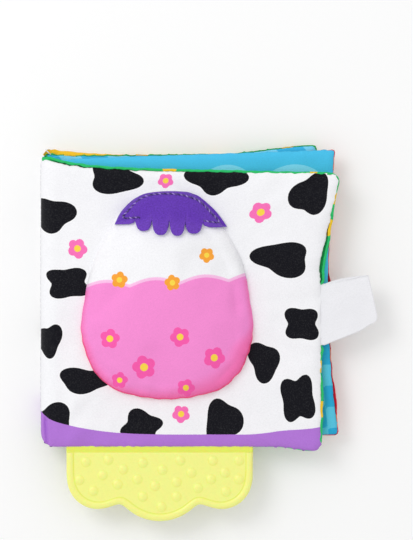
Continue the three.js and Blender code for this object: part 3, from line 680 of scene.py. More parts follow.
def drawn_in_by(sheet, w, turn):
    """How the stitches draw the edge in, as small scallops that die away from the seam."""
    scallops = seam_ripples(turn, *scallop_waves, sheet.seed) * 0.5
    scallops = scallops + seam_ripples(turn, *slow_scallops, sheet.seed + slow_seed)
    return sheet.scallop * np.exp(-w / seam_fade) * scallops


def cloth(name, sheet, level, seam, outward, lip, root, roll, steps, relief, prints):
    """A cloth of the book. relief gives the heights of its puckers, waves and hollows, and prints the
    named distances from its printed shapes."""
    round_spine = outward and roll == cover_roll
    show = sheet.show if lip else 0
    facing = sheet.side if outward else -sheet.side
    place_s, v, w, turn = cloth_grid(sheet, roll, show, root, *steps, round_spine)
    _, rise, lip_height = rolled_edge(w, roll, show)
    near_corner = np.exp(-np.maximum(0, place_s - corner_reach) / corner_fade)
    spine_corner = 0 if round_spine else near_corner * rising(v, sheet.half - corner_band, corner_run)
    s = np.maximum(place_s - sheet.corner_pull * spine_corner, min(root, least_s))
    x, y = lie(sheet, s, v)
    at_fore_edge = rising(s, 0, fore_run)
    if lip:
        out, up, kept = lip_shift(sheet, s, v, w, turn)
        x, y, lip_height = x + out * at_fore_edge, y + up, lip_height * kept
    else:
        open_here = np.exp(-abs((v - gape_level) / gape_half) ** gape_power)
        x = x - np.exp(-w / seam_fade) * sheet.gape * gape_in * open_here * at_fore_edge
    seed = sum(ord(letter) for letter in name)
    free = smooth(s / spine_radius - free_from)
    bumps = relief_of(relief, x, y, w, turn, seed) * free
    full = level + crown(s, v) if outward and sheet.lifted else level
    height = seam + (full - seam) * rise + lip_height
    if not outward:
        height = height - sunk_root * rising(turn, spine_edge + sunk_start, sunk_run)
    z = fold_z + sheet.side * height * squeeze(s) + facing * bumps
    if sheet.lifted:
        z = z + curl(x, y)
        if outward:
            z = z + fold_relief(x, y) * rise * smooth(s / spine_radius - 1) + corner_pleats(s, v)
    drawn_in = drawn_in_by(sheet, w, turn) * free
    across = np.where((turn > fore_edge) & (turn < top_edge), drawn_in, 0)
    at_top = np.where((turn > top_edge) & (turn < spine_edge), drawn_in, 0)
    upward = np.where(turn < fore_edge, hem_share * drawn_in, at_top)
    y, z = crumpled(sheet, spine_corner, x, y, z)
    face = np.stack([x + across, y + upward, np.maximum(z, above_floor)], -1)
    values = {"cloth_place": np.stack([place_s, v, w], -1)}
    values.update((label, distance(place_s, v)) for label, distance in prints.items())
    return shell(name, face, cloth_thickness, facing > 0, values)


print("scallops of up to", scallop_waves[1], "waves round a cloth")

# %% [markdown]
# ## Printed patterns
#
# The cloth is printed before it is sewn, so a pattern is drawn in the sheet's flat places. A picture
# file would do it, but here each kind of shape is a distance instead: how far a place is from the
# shape's outline, negative inside. The mesh carries these distances and the material cuts them off
# sharply, which prints a crisp edge at any size.

# %% Distances from printed shapes
far_away = 1e3
lobe_depth, sway_depth, stretches = 0.17, 0.1, (0.75, 1.25)


def nearest_of(rows, distance_to):
    """The least of the distances to several shapes."""
    def distance(s, v):
        nearest = np.full_like(s, far_away)
        for row in rows:
            nearest = np.minimum(nearest, distance_to(s, v, *row))
        return nearest

    return distance


def blotches(rows, seed):
    """Rounded patches of several lobes: a row holds the place, the size and the number of lobes."""
    draw = np.random.default_rng(seed)

    def to_blotch(s, v, at_s, at_v, size, lobes, phase, stretch):
        ds, dv = (s - at_s) * stretch, (v - at_v) / stretch
        angle = np.arctan2(dv, ds)
        lobed = lobe_depth * np.cos(lobes * angle + phase[0])
        edge = 1 + lobed + sway_depth * np.cos(2 * angle + phase[1])
        return np.hypot(ds, dv) - size * edge

    shapes = [(*row, draw.uniform(0, 2 * np.pi, 3), draw.uniform(*stretches)) for row in rows]
    return nearest_of(shapes, to_blotch)


print("a print is negative inside its shape and", far_away, "mm where there is none")

# %% Flowers, hem, dots and bands
petal_count, petal_out, petal_size = 5, 0.55, 0.42
hem_height = 66.9
# What lifts the edge of the band: the gathers at the spine, the cloth past them and the fore-edge
gather_lift, gather_run, swell_lift, swell_run = 6.5, 5, 6, 30
fore_lift, lift_start, lift_run = 7, 108, 56


def to_spot(s, v, at_s, at_v, radius):
    return np.hypot(s - at_s, v - at_v) - radius


def spots(rows):
    return nearest_of(rows, to_spot)


def flowers(rows):
    """Simple flowers of round petals. The rows hold place and size."""
    petals = []
    for at_s, at_v, size in rows:
        for angle in 2 * np.pi * np.arange(petal_count) / petal_count + at_s:
            across, up = petal_out * size * np.cos(angle), petal_out * size * np.sin(angle)
            petals.append((at_s + across, at_v + up, petal_size * size))
    return spots(petals)


def flowers_with_hearts(rows):
    """Flowers, and the round hearts in them. The rows hold place, size and the heart's radius."""
    hearts = [(at_s, at_v, heart) for at_s, at_v, _, heart in rows]
    return flowers([row[:3] for row in rows]), spots(hearts)


def hem_edge(s, v):
    """Height over the edge of the band along the bottom, which the gathers at its two ends lift."""
    by_spine = v + hem_height - gather_lift * np.exp(-s / gather_run) - swell_lift * bell(s, 0, swell_run)
    return by_spine - fore_lift * rising(s, lift_start, lift_run)


def dots_lattice(pitch, radius):
    def distance(s, v):
        row = np.round(v / pitch)
        shifted = s + pitch / 2 * (row % 2)
        return np.hypot(shifted - pitch * np.round(shifted / pitch), v - row * pitch) - radius

    return distance


def bands(pitch, share, turn):
    def distance(s, v):
        run = s * np.cos(turn) + v * np.sin(turn)
        return abs(run - pitch * np.round(run / pitch)) - pitch * share / 2

    return distance


print("shapes: blotches, spots, flowers, a hem, dots and bands")

# %% [markdown]
# The covers have dark patches with round lobes, a few simple flowers and a band along the bottom. Their
# shapes and places are the builder's own. The inner pages have plain motifs in the colours that show
# round the closed book: green with yellow spots, sky with pale rounds over a check, and so on.

# %% Patterns of the covers and pages
front_patches = blotches((
    (7, 47, 9.5, 3), (39, 69, 10.5, 3), (90, 71, 11, 4), (137, 62, 10, 3), (15, 13, 9.5, 4),
    (128, 27, 11.5, 3), (5, -17, 7.5, 3), (24, -38, 9.5, 3), (139, -8, 9, 4), (119, -28, 9, 3),
    (6, -60, 10, 3), (54, -63, 9.5, 4), (97, -60, 10.5, 3), (137, -47, 10.5, 4),
), seed=5)
back_patches = blotches((
    (14, 52, 10, 3), (52, 60, 12, 4), (96, 52, 10, 3), (134, 62, 11, 3), (30, 20, 11, 3),
    (74, 22, 12.5, 4), (118, 12, 11, 3), (12, -18, 10, 4), (52, -20, 11, 3), (94, -26, 12, 3),
    (136, -26, 10, 4), (26, -56, 11, 3), (70, -56, 10, 3), (116, -58, 11, 4),
), seed=8)
front_flowers, front_hearts = flowers_with_hearts((
    (65, 68.4, 4.2, 1.5), (114, 52, 6, 2.0), (20, 31, 5.5, 1.8), (75, -56, 5, 1.7),
))
back_flowers, back_hearts = flowers_with_hearts((
    (34, 44, 7, 2.3), (114, 38, 7, 2.3), (34, -8, 6, 2), (112, -8, 6.5, 2.1), (72, -36, 6.5, 2.1),
))
green_spots = spots((
    (68, 75.5, 3.6), (137.4, 76, 2.2), (150.5, 59.8, 3.1), (147.5, 44, 5), (151, -30, 3.2),
    (149.5, -52, 4.2), (36, 40, 8), (84, 18, 10), (40, -22, 9), (104, -34, 8), (116, 34, 7),
))
sky_rounds = spots(((22, 50, 15), (58, 48, 20), (98, 52, 17), (133, 47, 21)))
sky_line = 6
check_rows, check_columns = bands(22, 0.5, np.pi / 2), bands(22, 0.5, 0)
page_dots = dots_lattice(17, 3.4)
page_bands, sloping_bands = bands(37, 0.16, 0.3), bands(20, 0.45, 0.7)


def below_sky(s, v):
    return v - sky_line


def check(s, v):
    """Squares of a check below the sky: inside where just one of the two sets of bands is."""
    rows, columns = check_rows(s, v), check_columns(s, v)
    squares = np.where(rows * columns < 0, -1, 1) * np.minimum(abs(rows), abs(columns))
    return np.maximum(squares, below_sky(s, v))


print("front patches at the middle:", front_patches(np.array([75.0]), np.array([0.0])))

# %% [markdown]
# ## Finishes
#
# Colours are written as they look on the screen and turned into the linear values that the renderer
# works with. A few more helpers mix two colours, add a noise, read a number that the mesh carries, turn
# a height into a bump and make or use a node group.

# %% Colours, noise and groups
def paint(red, green, blue):
    """A linear colour from screen values of 0 to 255."""
    shares = [value / 255 for value in (red, green, blue)]
    return (*[s / 12.92 if s <= 0.04045 else ((s + 0.055) / 1.055) ** 2.4 for s in shares], 1)


def mix_colour(tree, share, first, second, blend="MIX"):
    node = tree.nodes.new("ShaderNodeMix")
    node.data_type, node.blend_type = "RGBA", blend
    for place, value in ((0, share), (6, first), (7, second)):
        feed(tree, node.inputs[place], value)
    return node.outputs[2]


def noise(tree, place, scale, detail=2.0):
    node = tree.nodes.new("ShaderNodeTexNoise")
    return set_inputs(tree, node, Vector=place, Scale=scale, Detail=detail).outputs[0]


def carried(tree, label, output="Fac"):
    """The number that the mesh carries under a name at each point, or the place."""
    return add(tree, "Attribute", attribute_name=label).node.outputs[output]


def bumped(tree, height, strength, distance):
    """The normals of a height, with the distance in millimetres."""
    node = tree.nodes.new("ShaderNodeBump")
    set_inputs(tree, node, Strength=strength, Distance=distance * MM, Height=height)
    return node.outputs["Normal"]


def new_group(name, inputs, outputs):
    """An empty shader group. inputs and outputs are names with their socket kinds and first values."""
    group = bpy.data.node_groups.new(name, "ShaderNodeTree")
    for label, kind, value in inputs:
        socket = group.interface.new_socket(label, in_out="INPUT", socket_type="NodeSocket" + kind)
        if value is not None:
            socket.default_value = value
    for label, kind in outputs:
        group.interface.new_socket(label, in_out="OUTPUT", socket_type="NodeSocket" + kind)
    return group, group.nodes.new("NodeGroupInput").outputs, group.nodes.new("NodeGroupOutput").inputs


def use_group(tree, group, **values):
    node = tree.nodes.new("ShaderNodeGroup")
    node.node_tree = group
    return set_inputs(tree, node, **values).outputs


print("helpers for finishes ready")

# %% [markdown]
# Three effects are shared. The weave is the height of crossing threads with a fine nap over it, and a
# tone that varies a little from thread to thread. The print cuts a distance off to a mask, and the ink
# creeps a little along the threads, so the edge is not perfectly even. The seam shade is painted
# shade: the slight darkening where cloth is gathered into its stitches.

# %% Weave group
nap_scale, nap_detail, nap_height, nap_tone = 2.2, 4.0, 2.0, 0.22
thread_height = 0.25
uneven_scale, uneven_detail, uneven_share = 0.12, 3.0, 0.05
mottle_scale = 1.2


def centred_noise(tree, place, scale, detail=2.0):
    return math(tree, "SUBTRACT", noise(tree, place, scale, detail), 0.5)


def weave_group():
    group, given, made = new_group(
        "weave",
        [("Place", "Vector", None), ("Pitch", "Float", 0.5), ("Nap", "Float", 0.5),
         ("Mottle", "Float", 0.1)],
        [("Height", "Float"), ("Tone", "Float")],
    )
    place = given["Place"]
    parts = add(group, "SeparateXYZ", place).node
    rate = math(group, "DIVIDE", 2 * np.pi, given["Pitch"])
    warp = math(group, "SINE", math(group, "MULTIPLY", parts.outputs["X"], rate))
    weft = math(group, "SINE", math(group, "MULTIPLY", parts.outputs["Y"], rate))
    threads = math(group, "MULTIPLY", warp, weft)
    nap = math(group, "MULTIPLY", centred_noise(group, place, nap_scale, nap_detail), given["Nap"])
    height = math(group, "MULTIPLY_ADD", threads, thread_height, math(group, "MULTIPLY", nap, nap_height))
    cloudy = centred_noise(group, place, uneven_scale, uneven_detail)
    uneven = math(group, "MULTIPLY", cloudy, uneven_share)
    mottled = math(group, "MULTIPLY_ADD", centred_noise(group, place, mottle_scale), given["Mottle"], uneven)
    tone = math(group, "ADD", math(group, "MULTIPLY_ADD", nap, nap_tone, 1.0), mottled)
    group.links.new(height, made["Height"])
    group.links.new(tone, made["Tone"])
    return group


weave = weave_group()
print("weave of", len(weave.nodes), "nodes")

# %% Print group
wander_scale, wander_mm = 1.6, 0.35
thin_scale, thin_share = 1.5, 0.09


def soft_step(tree, value, start, end):
    """1 below start and 0 above end."""
    return add(tree, "MapRange", value, start, end, 1.0, 0.0, interpolation_type="SMOOTHSTEP")


def print_group():
    group, given, made = new_group(
        "print_edge",
        [("Place", "Vector", None), ("Distance", "Float", 0.0), ("Softness", "Float", 0.12)],
        [("Mask", "Float")],
    )
    wander = math(group, "MULTIPLY", centred_noise(group, given["Place"], wander_scale), wander_mm)
    distance = math(group, "ADD", given["Distance"], wander)
    inked = soft_step(group, math(group, "DIVIDE", distance, given["Softness"]), -1.0, 1.0)
    thin = math(group, "MULTIPLY", centred_noise(group, given["Place"], thin_scale), thin_share)
    inked_share = math(group, "SUBTRACT", 1.0, math(group, "MAXIMUM", thin, 0.0))
    group.links.new(math(group, "MULTIPLY", inked, inked_share), made["Mask"])
    return group


print_edge = print_group()
print("edge of a print, uneven by up to", wander_mm / 2, "mm")

# %% Seam group
seam_reach = 2.5


# Painted shade: the colour is darkened by Depth within seam_reach millimetres of a seam.
def seam_group():
    group, given, made = new_group(
        "seam_shade",
        [("Colour", "Color", (1, 1, 1, 1)), ("Tone", "Float", 1.0), ("Distance", "Float", 10.0),
         ("Depth", "Float", 0.08)],
        [("Colour", "Color")],
    )
    near = soft_step(group, given["Distance"], 0.0, seam_reach)
    level = math(group, "SUBTRACT", given["Tone"], math(group, "MULTIPLY", near, given["Depth"]))
    grey = add(group, "CombineColor", level, level, level)
    shaded = mix_colour(group, 1.0, given["Colour"], grey, "MULTIPLY")
    group.links.new(shaded, made["Colour"])
    return group


seam_shade = seam_group()
print("groups:", [group.name for group in (weave, print_edge, seam_shade)])

# %% [markdown]
# A printed cloth starts from its ground colour and lays one printed shape over another, in the order
# in which the printer would. Polyester cloth has a slight sheen at glancing angles, like the fuzz on a
# peach, and hardly any gloss.

# %% Printed cloth
crisp, soft = 0.14, 0.2
# How deep the painted seam shade is on the pages
page_depth = 0.06
thread_bump, thread_depth = 0.35, 0.12


def printed_over(tree, place, colour, ink, distance, softness):
    mask = use_group(tree, print_edge, Place=place, Distance=distance, Softness=softness)["Mask"]
    return mix_colour(tree, mask, colour, ink)


def printed_cloth(
    name, ground, layers, pitch=0.5, nap=0.7, roughness=0.8, sheen=0.06, depth=0.08, mottle=0.15
):
    """layers are (name of the distance, colour, how far the shape grows, softness)."""
    material, tree, shader = new_material(name)
    place = carried(tree, "cloth_place", "Vector")
    threads = use_group(tree, weave, Place=place, Pitch=pitch, Nap=nap, Mottle=mottle)
    colour = ground
    for label, ink, grow, softness in layers:
        grown = math(tree, "SUBTRACT", carried(tree, label), grow)
        colour = printed_over(tree, place, colour, ink, grown, softness)
    # The distance from the seam sets where the painted seam shade darkens the cloth.
    from_seam = add(tree, "SeparateXYZ", place).node.outputs["Z"]
    shaded = use_group(
        tree, seam_shade, Colour=colour, Tone=threads["Tone"], Distance=from_seam, Depth=depth
    )
    normal = bumped(tree, threads["Height"], thread_bump, thread_depth)
    set_inputs(
        tree, shader, Base_Color=shaded["Colour"], Normal=normal, Roughness=roughness,
        Sheen_Weight=sheen, Sheen_Roughness=0.5, Specular_IOR_Level=0.12,
    )
    return material


white_ground = paint(250, 250, 253)
heart_yellow = paint(255, 222, 78)
cover_print = printed_cloth("white_printed_cloth", white_ground, [
    ("patch", paint(254, 254, 255), 0.5, 0.4), ("patch", paint(14, 14, 22), 0, crisp),
    ("flower", paint(255, 118, 190), 0, crisp), ("heart", heart_yellow, 0, crisp),
    ("hem", paint(183, 122, 220), 0, crisp),
])
sky_print = printed_cloth("sky_printed_cloth", paint(76, 197, 240), [
    ("round", paint(132, 220, 250), 0, soft), ("below", paint(90, 202, 232), 0, soft),
    ("check", paint(44, 174, 220), 0, crisp),
], depth=page_depth)
green_print, red_print, blue_print, meadow_print, yellow_print = [
    printed_cloth(
        name + "_printed_cloth", paint(*ground), [(label, paint(*ink), 0, softness)], depth=page_depth
    )
    for name, ground, label, ink, softness in (
        ("green", (48, 200, 112), "spot", (250, 208, 48), crisp),
        ("red", (226, 32, 54), "dot", (255, 150, 120), crisp),
        ("blue", (58, 186, 236), "band", (120, 214, 248), soft),
        ("meadow", (60, 190, 104), "band", (250, 210, 60), crisp),
        ("yellow", (251, 200, 44), "dot", (244, 148, 30), crisp),
    )
]
print("printed cloths:", sum(material.name.endswith("printed_cloth") for material in bpy.data.materials))

# %% [markdown]
# ## The eight cloths
#
# Covers get fine rows of points and a lively relief, because they are what the eye rests on. The pages
# lie against each other, so theirs are coarser and calmer. Each cloth stands for one node of the packed
# model and rides on its body.

# %% Make the cloths
fine_steps, side_steps, page_steps = (0.28, 0.85, 0.9), (0.4, 1.3, 1.6), (0.4, 1.3, 1.7)
outer_relief = SimpleNamespace(pucker=0.2, wave=0.34, hollow=0.22, crease=0.04)
calm_relief = SimpleNamespace(pucker=0.16, wave=0.12, hollow=0.06, crease=0.02)
outer_root, lining_root, page_root = 0.12, 2.6, 1.5


def put_on(piece, body, node, material, slot):
    piece.data.materials.append(material)
    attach(piece, body)
    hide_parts(node)
    return piece


def book_cloth(node, sheet, outward, lip, prints, material, slot, steps=page_steps):
    body = "_".join(node.split("_")[:2])
    if body.endswith("cover"):
        inner, seam, outer, roll = cover_inner, cover_seam, cover_outer, cover_roll
        root, relief = (outer_root, outer_relief) if outward else (lining_root, calm_relief)
    else:
        inner, seam, outer, roll = leaf_inner, leaf_seam, leaf_outer, leaf_roll
        root, relief = page_root, calm_relief
    level = outer if outward else inner
    piece = cloth(node + "_sewn", sheet, level, seam, outward, lip, root, roll, steps, relief, prints)
    put_on(piece, body, node, material, slot)
    return piece


front_prints = {"patch": front_patches, "flower": front_flowers, "heart": front_hearts, "hem": hem_edge}
back_prints = {"patch": back_patches, "flower": back_flowers, "heart": back_hearts, "hem": hem_edge}
sky_prints = {"round": sky_rounds, "below": below_sky, "check": check}
cloths = [book_cloth(*facts) for facts in (
    ("front_cover_outer_cloth", front_cover, True, False, front_prints, cover_print, "white_cloth",
     fine_steps),
    ("back_cover_outer_cloth", back_cover, True, False, back_prints, cover_print, "white_cloth",
     side_steps),
    ("front_cover_lining", front_cover, False, True, {"spot": green_spots}, green_print, "green_cloth"),
    ("back_cover_lining", back_cover, False, True, {"dot": page_dots}, yellow_print, "yellow_cloth"),
    ("front_leaf_front_cloth", front_leaf, True, False, sky_prints, sky_print, "blue_cloth"),
    ("front_leaf_back_cloth", front_leaf, False, True, {"dot": page_dots}, red_print, "red_cloth"),
    ("back_leaf_front_cloth", back_leaf, False, False, {"band": sloping_bands}, blue_print, "blue_cloth"),
    ("back_leaf_back_cloth", back_leaf, True, True, {"band": page_bands}, meadow_print, "green_cloth"),
)]
print("points of the cloths:", [len(piece.data.vertices) for piece in cloths])

# %% [markdown]
# ## Wadding and crackling film
#
# Inside each sheet lies a pad of polyester wadding and a sheet of film that crackles when a baby
# crumples it. They are cut smaller than the cloths, so that nothing gets into the seams. Nothing of
# them shows, and plain boxes would do, but the pad is still a soft pad and the film is creased.

# %% Materials inside the book
grain_detail, grain_bump = 3.0, 0.5
grain_tone, darkest_tone = 0.1, 0.95


def plain_material(name, colour, roughness, bump_scale, bump_height, **values):
    """An even colour under fine irregular relief, for what has no print."""
    material, tree, shader = new_material(name)
    grain = noise(tree, add(tree, "TexCoord").node.outputs["Object"], bump_scale / MM, grain_detail)
    tone = math(tree, "MULTIPLY_ADD", grain, grain_tone, darkest_tone)
    shaded = use_group(tree, seam_shade, Colour=colour, Tone=tone)["Colour"]
    normal = bumped(tree, grain, grain_bump, bump_height)
    set_inputs(tree, shader, Base_Color=shaded, Normal=normal, Roughness=roughness, **values)
    return material


wadding_fibre = plain_material("wadding_fibre", paint(244, 244, 242), 0.95, 1.4, 0.3)
crackle_film = plain_material("crackle_film", paint(222, 228, 234), 0.22, 0.5, 0.1, Coat_Weight=0.4)
print("fibre and film ready")

# %% Pads and films
padding_root = 8
padding_inset = 7
padding_corners = (4, 4, 4, 4)
inner_steps = (1.0, 3.5, 4.5)
half_edge, uneven_run = 0.1, 6
film_thickness = 0.3
# How much it is fuller in the middle, and the height and length of its waves
pad_relief, film_relief = (0.8, 0.06, 18), (0, 0.07, 9)


def filler(name, sheet, low, thickness, full, relief_height, relief_length):
    """A body that starts at a level of a sheet, with edges that meet in the middle."""
    fine, coarse, middle_step = inner_steps
    half = thickness / 2
    roll = max(half, film_thickness)
    w = widening(fine, coarse, inner_start)
    inset = padding_inset + np.maximum(0, w - roll * (np.pi / 2 - 1))
    left, right = padding_root + inset - padding_inset, sheet.reach - inset
    bottom, top = inset - sheet.half, sheet.half - inset
    s, v, ring, _, _, share = panel(left, right, bottom, top, padding_corners, middle_step)
    distance = np.concatenate([w, w[-1] + share * sheet.half])[ring]
    rise = np.sin(np.minimum(distance / roll, np.pi / 2))
    x, y = lie(sheet, s, v)
    uneven = relief_height * ripples(x, y, relief_length, len(name)) * rising(distance, 0, uneven_run)
    lifted = curl(x, y) if sheet.lifted else 0
    swell = full * crown(s, v) * rise if sheet.lifted else 0
    rounded = half_edge + (half - half_edge) * rise
    faces = []
    for level in (low + half + rounded + swell, low + half - rounded):
        faces.append(np.stack([x, y, fold_z + sheet.side * level * squeeze(s) + uneven + lifted], -1))
    upper, lower = faces if sheet.side > 0 else faces[::-1]
    return body_between(name, upper, lower)


for name, one, pad_low, pad_thickness, film_low in (
    ("back_cover", back_cover, 5.9, 2.8, 5.3), ("back_leaf", back_leaf, 1.7, 1.4, 1.1),
    ("front_leaf", front_leaf, 1.7, 1.4, 1.1), ("front_cover", front_cover, 5.9, 2.8, 5.3),
):
    pad = filler(name + "_pad", one, pad_low, pad_thickness, *pad_relief)
    put_on(pad, name, name + "_wadding", wadding_fibre, "wadding")
    film = filler(name + "_film", one, film_low, film_thickness, *film_relief)
    put_on(film, name, name + "_crinkle_film", crackle_film, "film")
print("four pads and four films")

# %% [markdown]
# ## The padded cushion
#
# The cushion is a piece of the same soft polyester, cut wider than its place, gathered all round on a
# seam and stuffed. The gathering is what makes it stand up steeply from the cover and pulls short
# creases into its edge. A sphere could be scaled to size, but its edge would be smooth, so the dome
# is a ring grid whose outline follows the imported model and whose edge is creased.

# %% Outline of the cushion
head_width, head_height = 91.5, 110.7
head_centre_share, outline_steps = 0.42, 24
head_middle = (fold_x + 67.6, front_cover.middle + 7.1 + (head_centre_share - 0.5) * head_height)
head_half_shares = (
    (0, 0), (0.3, 0.012), (0.62, 0.05), (0.84, 0.13), (0.95, 0.23), (1, 0.345), (0.955, 0.49),
    (0.9, 0.61), (0.79, 0.73), (0.64, 0.835), (0.5, 0.912), (0.28, 0.985), (0, 1),
)


def curve_between(corners, steps):
    """Catmull-Rom from the second corner to the last but one, without its last point."""
    t = np.linspace(0, 1, steps, endpoint=False)[:, None]
    runs = []
    for a, b, c, d in zip(corners, corners[1:], corners[2:], corners[3:]):
        bend = (2 * a - 5 * b + 4 * c - d) * t**2 + (3 * b - a - 3 * c + d) * t**3
        runs.append(0.5 * (2 * b + (c - a) * t + bend))
    return np.concatenate(runs)


mirrored = [(-across, up) for across, up in head_half_shares[-2:0:-1]]
head_corners = np.array([
    (across * head_width / 2, (up - head_centre_share) * head_height)
    for across, up in (*head_half_shares, *mirrored)
])
round_and_on = np.concatenate([head_corners[-1:], head_corners, head_corners[:2]])
head_outline = curve_between(round_and_on, outline_steps)
outline_angle = np.arctan2(head_outline[:, 1], head_outline[:, 0])
outline_order = np.argsort(outline_angle)
outline_reach = np.hypot(*head_outline.T)
start_corner = int(np.argmin(abs(outline_angle + 3 * np.pi / 4)))
turned_outline = np.roll(head_outline, -start_corner, axis=0)
print("outline of", len(head_outline), "points")

# %% Dome of the cushion
head_dome, head_power, head_seat = 12, 2.5, 0.5


def head_reach(angle):
    return np.interp(angle, outline_angle[outline_order], outline_reach[outline_order], period=2 * np.pi)


def head_depth(x, y):
    """The share of the way in from the cushion's outline to its middle."""
    dx, dy = x - head_middle[0], y - head_middle[1]
    return 1 - np.hypot(dx, dy) / head_reach(np.arctan2(dy, dx))


def dome_height(depth, top=head_dome):
    return top * np.sqrt(1 - (1 - np.clip(depth, 0, 1)) ** head_power)


def plain_surface(x, y):
    """Height of the cushion's cloth before it is filled."""
    return cover_top(x, y) + head_seat + dome_height(head_depth(x, y))


def ring_grid(rings, outline):
    """A square grid whose rings follow a closed outline. rings run from 0 at the edge to 1 in the
    middle. Returns x and y from the middle, the same on the book, the depth and the turn."""
    _, _, ring, _, _, turn = square_rings(len(rings) - 1)
    depth = np.array(rings)[ring]
    at = turn * len(outline)
    low = np.floor(at).astype(int) % len(outline)
    part = (at - np.floor(at))[..., None]
    edge = outline[low] * (1 - part) + outline[(low + 1) % len(outline)] * part
    x, y = edge[..., 0] * (1 - depth), edge[..., 1] * (1 - depth)
    return x, y, head_middle[0] + x, head_middle[1] + y, depth, turn


head_top = float(plain_surface(*head_middle))
print("cushion", head_width, "by", head_height, "mm, and", round(head_top, 1), "high")

# %% [markdown]
# The cloth is cut a few parts in a hundred wider than its place, and the stuffing presses it outwards.
# That is a job for the Cloth simulation: a coarse skin is held at its seam, grows a little and is blown
# up for twenty frames. Only its heights are kept, as a surface that the fine cloth, the fringe and the
# stitches are then laid on, so the coarse skin itself can go.

# %% Fill the cushion
skin_rings = 24
skin_voxel, skin_pressure, skin_growth, skin_frames = 4.5, 2.5, 0.04, 20
skin_dome_share = 0.94
held_under = 1.5


def filled_skin():
    """The filled skin, as a tree that rays can be sent at."""
    _, _, x, y, depth, _ = ring_grid(np.linspace(0, 1, skin_rings), turned_outline)
    low = cover_top(x, y)
    high = low + head_seat + skin_dome_share * dome_height(depth)
    skin = body_between("coarse_skin", np.stack([x, y, high], -1), np.stack([x, y, low - skin_voxel], -1))
    remesh = skin.modifiers.new("even", "REMESH")
    remesh.mode = "VOXEL"
    remesh.voxel_size = skin_voxel * MM
    skin.data = bpy.data.meshes.new_from_object(skin.evaluated_get(bpy.context.evaluated_depsgraph_get()))
    skin.modifiers.clear()
    held = skin.vertex_groups.new(name="held")
    for corner in skin.data.vertices:
        px, py, pz = (value / MM for value in corner.co)
        if pz < float(cover_top(px, py)) + held_under:
            held.add([corner.index], 1, "REPLACE")
    stuffing = skin.modifiers.new("stuffing", "CLOTH").settings
    stuffing.vertex_group_mass = "held"
    stuffing.use_pressure = True
    stuffing.uniform_pressure_force = skin_pressure
    stuffing.shrink_min = -skin_growth
    stuffing.effector_weights.gravity = 0
    skin.modifiers.new("finer", "SUBSURF").levels = 2
    for frame_number in range(1, skin_frames + 1):
        bpy.context.scene.frame_set(frame_number)
    tree = BVHTree.FromObject(skin, bpy.context.evaluated_depsgraph_get())
    bpy.context.scene.frame_set(1)
    bpy.data.objects.remove(skin)
    return tree


skin_tree = filled_skin()
print("the skin is filled:", skin_tree is not None)

# %% Surface of the filled cushion
over_all = 0.1
most_swelling, swelling_start, swelling_run = 4, 0.05, 0.15


def swelling(x, y):
    """How far the filled skin stands over the plain dome."""
    if skin_tree is None:
        return 0
    plain = plain_surface(x, y)
    above = np.zeros_like(plain)
    for k in np.ndindex(plain.shape):
        found, _, _, _ = skin_tree.ray_cast((x[k] * MM, y[k] * MM, over_all), (0, 0, -1))
        above[k] = found.z / MM - plain[k] if found else 0
    inside = rising(head_depth(x, y), swelling_start, swelling_run)
    return np.clip(above, -most_swelling, most_swelling) * inside


def head_surface(x, y):
    """Height of the cushion's cloth before its small creases."""
    x, y = np.asarray(x, float), np.asarray(y, float)
    return plain_surface(x, y) + swelling(x, y)


print("filled cushion", round(float(head_surface(*head_middle)), 1), "mm high")

# %% [markdown]
# The fine cloth of the cushion follows that surface. Its edge is gathered into short creases, most of
# all along the bottom. It is white above and pink below a soft scalloped border. Deeper pinks along
# the seam, and more widely towards the lower right, are painted shade for the light lost in the gathers.

# %% Prints of the cushion
border_level, border_slope, scallop_depth, scallop_count = 3, 5, 3.2, 3.5


def pink_border(x, y):
    """The pink part of the cushion ends in soft scallops, higher on the right than on the left."""
    u = (x - head_middle[0]) / head_width
    scallop = scallop_depth * abs(np.sin(scallop_count * np.pi * (u + 0.5)))
    return y - border_level - border_slope * u - scallop


pink_flowers, pink_hearts = flowers_with_hearts((
    (-30, -14, 5.5, 1.8), (-12, -29, 6.5, 2.1), (7, -13, 5.5, 1.8), (25, -24, 6, 1.9),
    (-25, -36, 4.6, 1.5), (10, -40, 5, 1.6),
))
orange_flowers, orange_hearts = flowers_with_hearts((
    (-25, 17, 4.6, 1.5), (21, 30, 4.2, 1.4), (3, 15.5, 4.4, 1.5),
))
# The three deeper pinks along the seam and towards the lower right are painted shade.
cushion_print = printed_cloth("cushion_printed_cloth", white_ground, [
    ("pink", paint(255, 196, 236), 1.6, 0.3), ("pink", paint(252, 146, 217), 0, soft),
    ("painted_side_shade", paint(255, 122, 190), 0, 5), ("painted_seam_shade", paint(255, 112, 178), 0, 2.6),
    ("flower", paint(255, 96, 178), 0, crisp), ("daisy", paint(255, 170, 60), 0, crisp),
    ("heart", heart_yellow, 0, crisp), ("painted_seam_shade", paint(255, 84, 140), -0.9, 0.35),
], depth=0.04)
print("scalloped border", scallop_depth, "mm deep")

# %% Cushion
depth_mm = 40
rim_rings, inner_rings = (0, 0.006, 0.014, 0.024, 0.036, 0.05), np.linspace(0.065, 1, 62)
# Shares of the way in to the middle: where the creases start, and how far in they and the edge reach
crease_start, crease_run, long_run, edge_run, dimple_start = 0.012, 0.035, 0.11, 0.03, 0.15
crease_height, dimple_height, wavy_share, sunk_base = 0.3, 0.26, 0.0032, 0.1
# Each kind of crease: the fewest and the most waves round the edge, and the seed
short_creases, wider_creases, long_creases, edge_waves = (50, 110, 3), (20, 44, 4), (14, 34, 5), (12, 50, 7)
dimples = (34, 6)
calm_side, calm_run = 0.35, 20
# The painted shade in deeper pinks along the seam: how wide it is, and by how much it is moved out of the
# way
seam_shade_width, seam_shade_off = 1.6, 9
side_shade_width, side_shade_slant, side_shade_run, side_shade_off = 7, 0.6, 70, 20

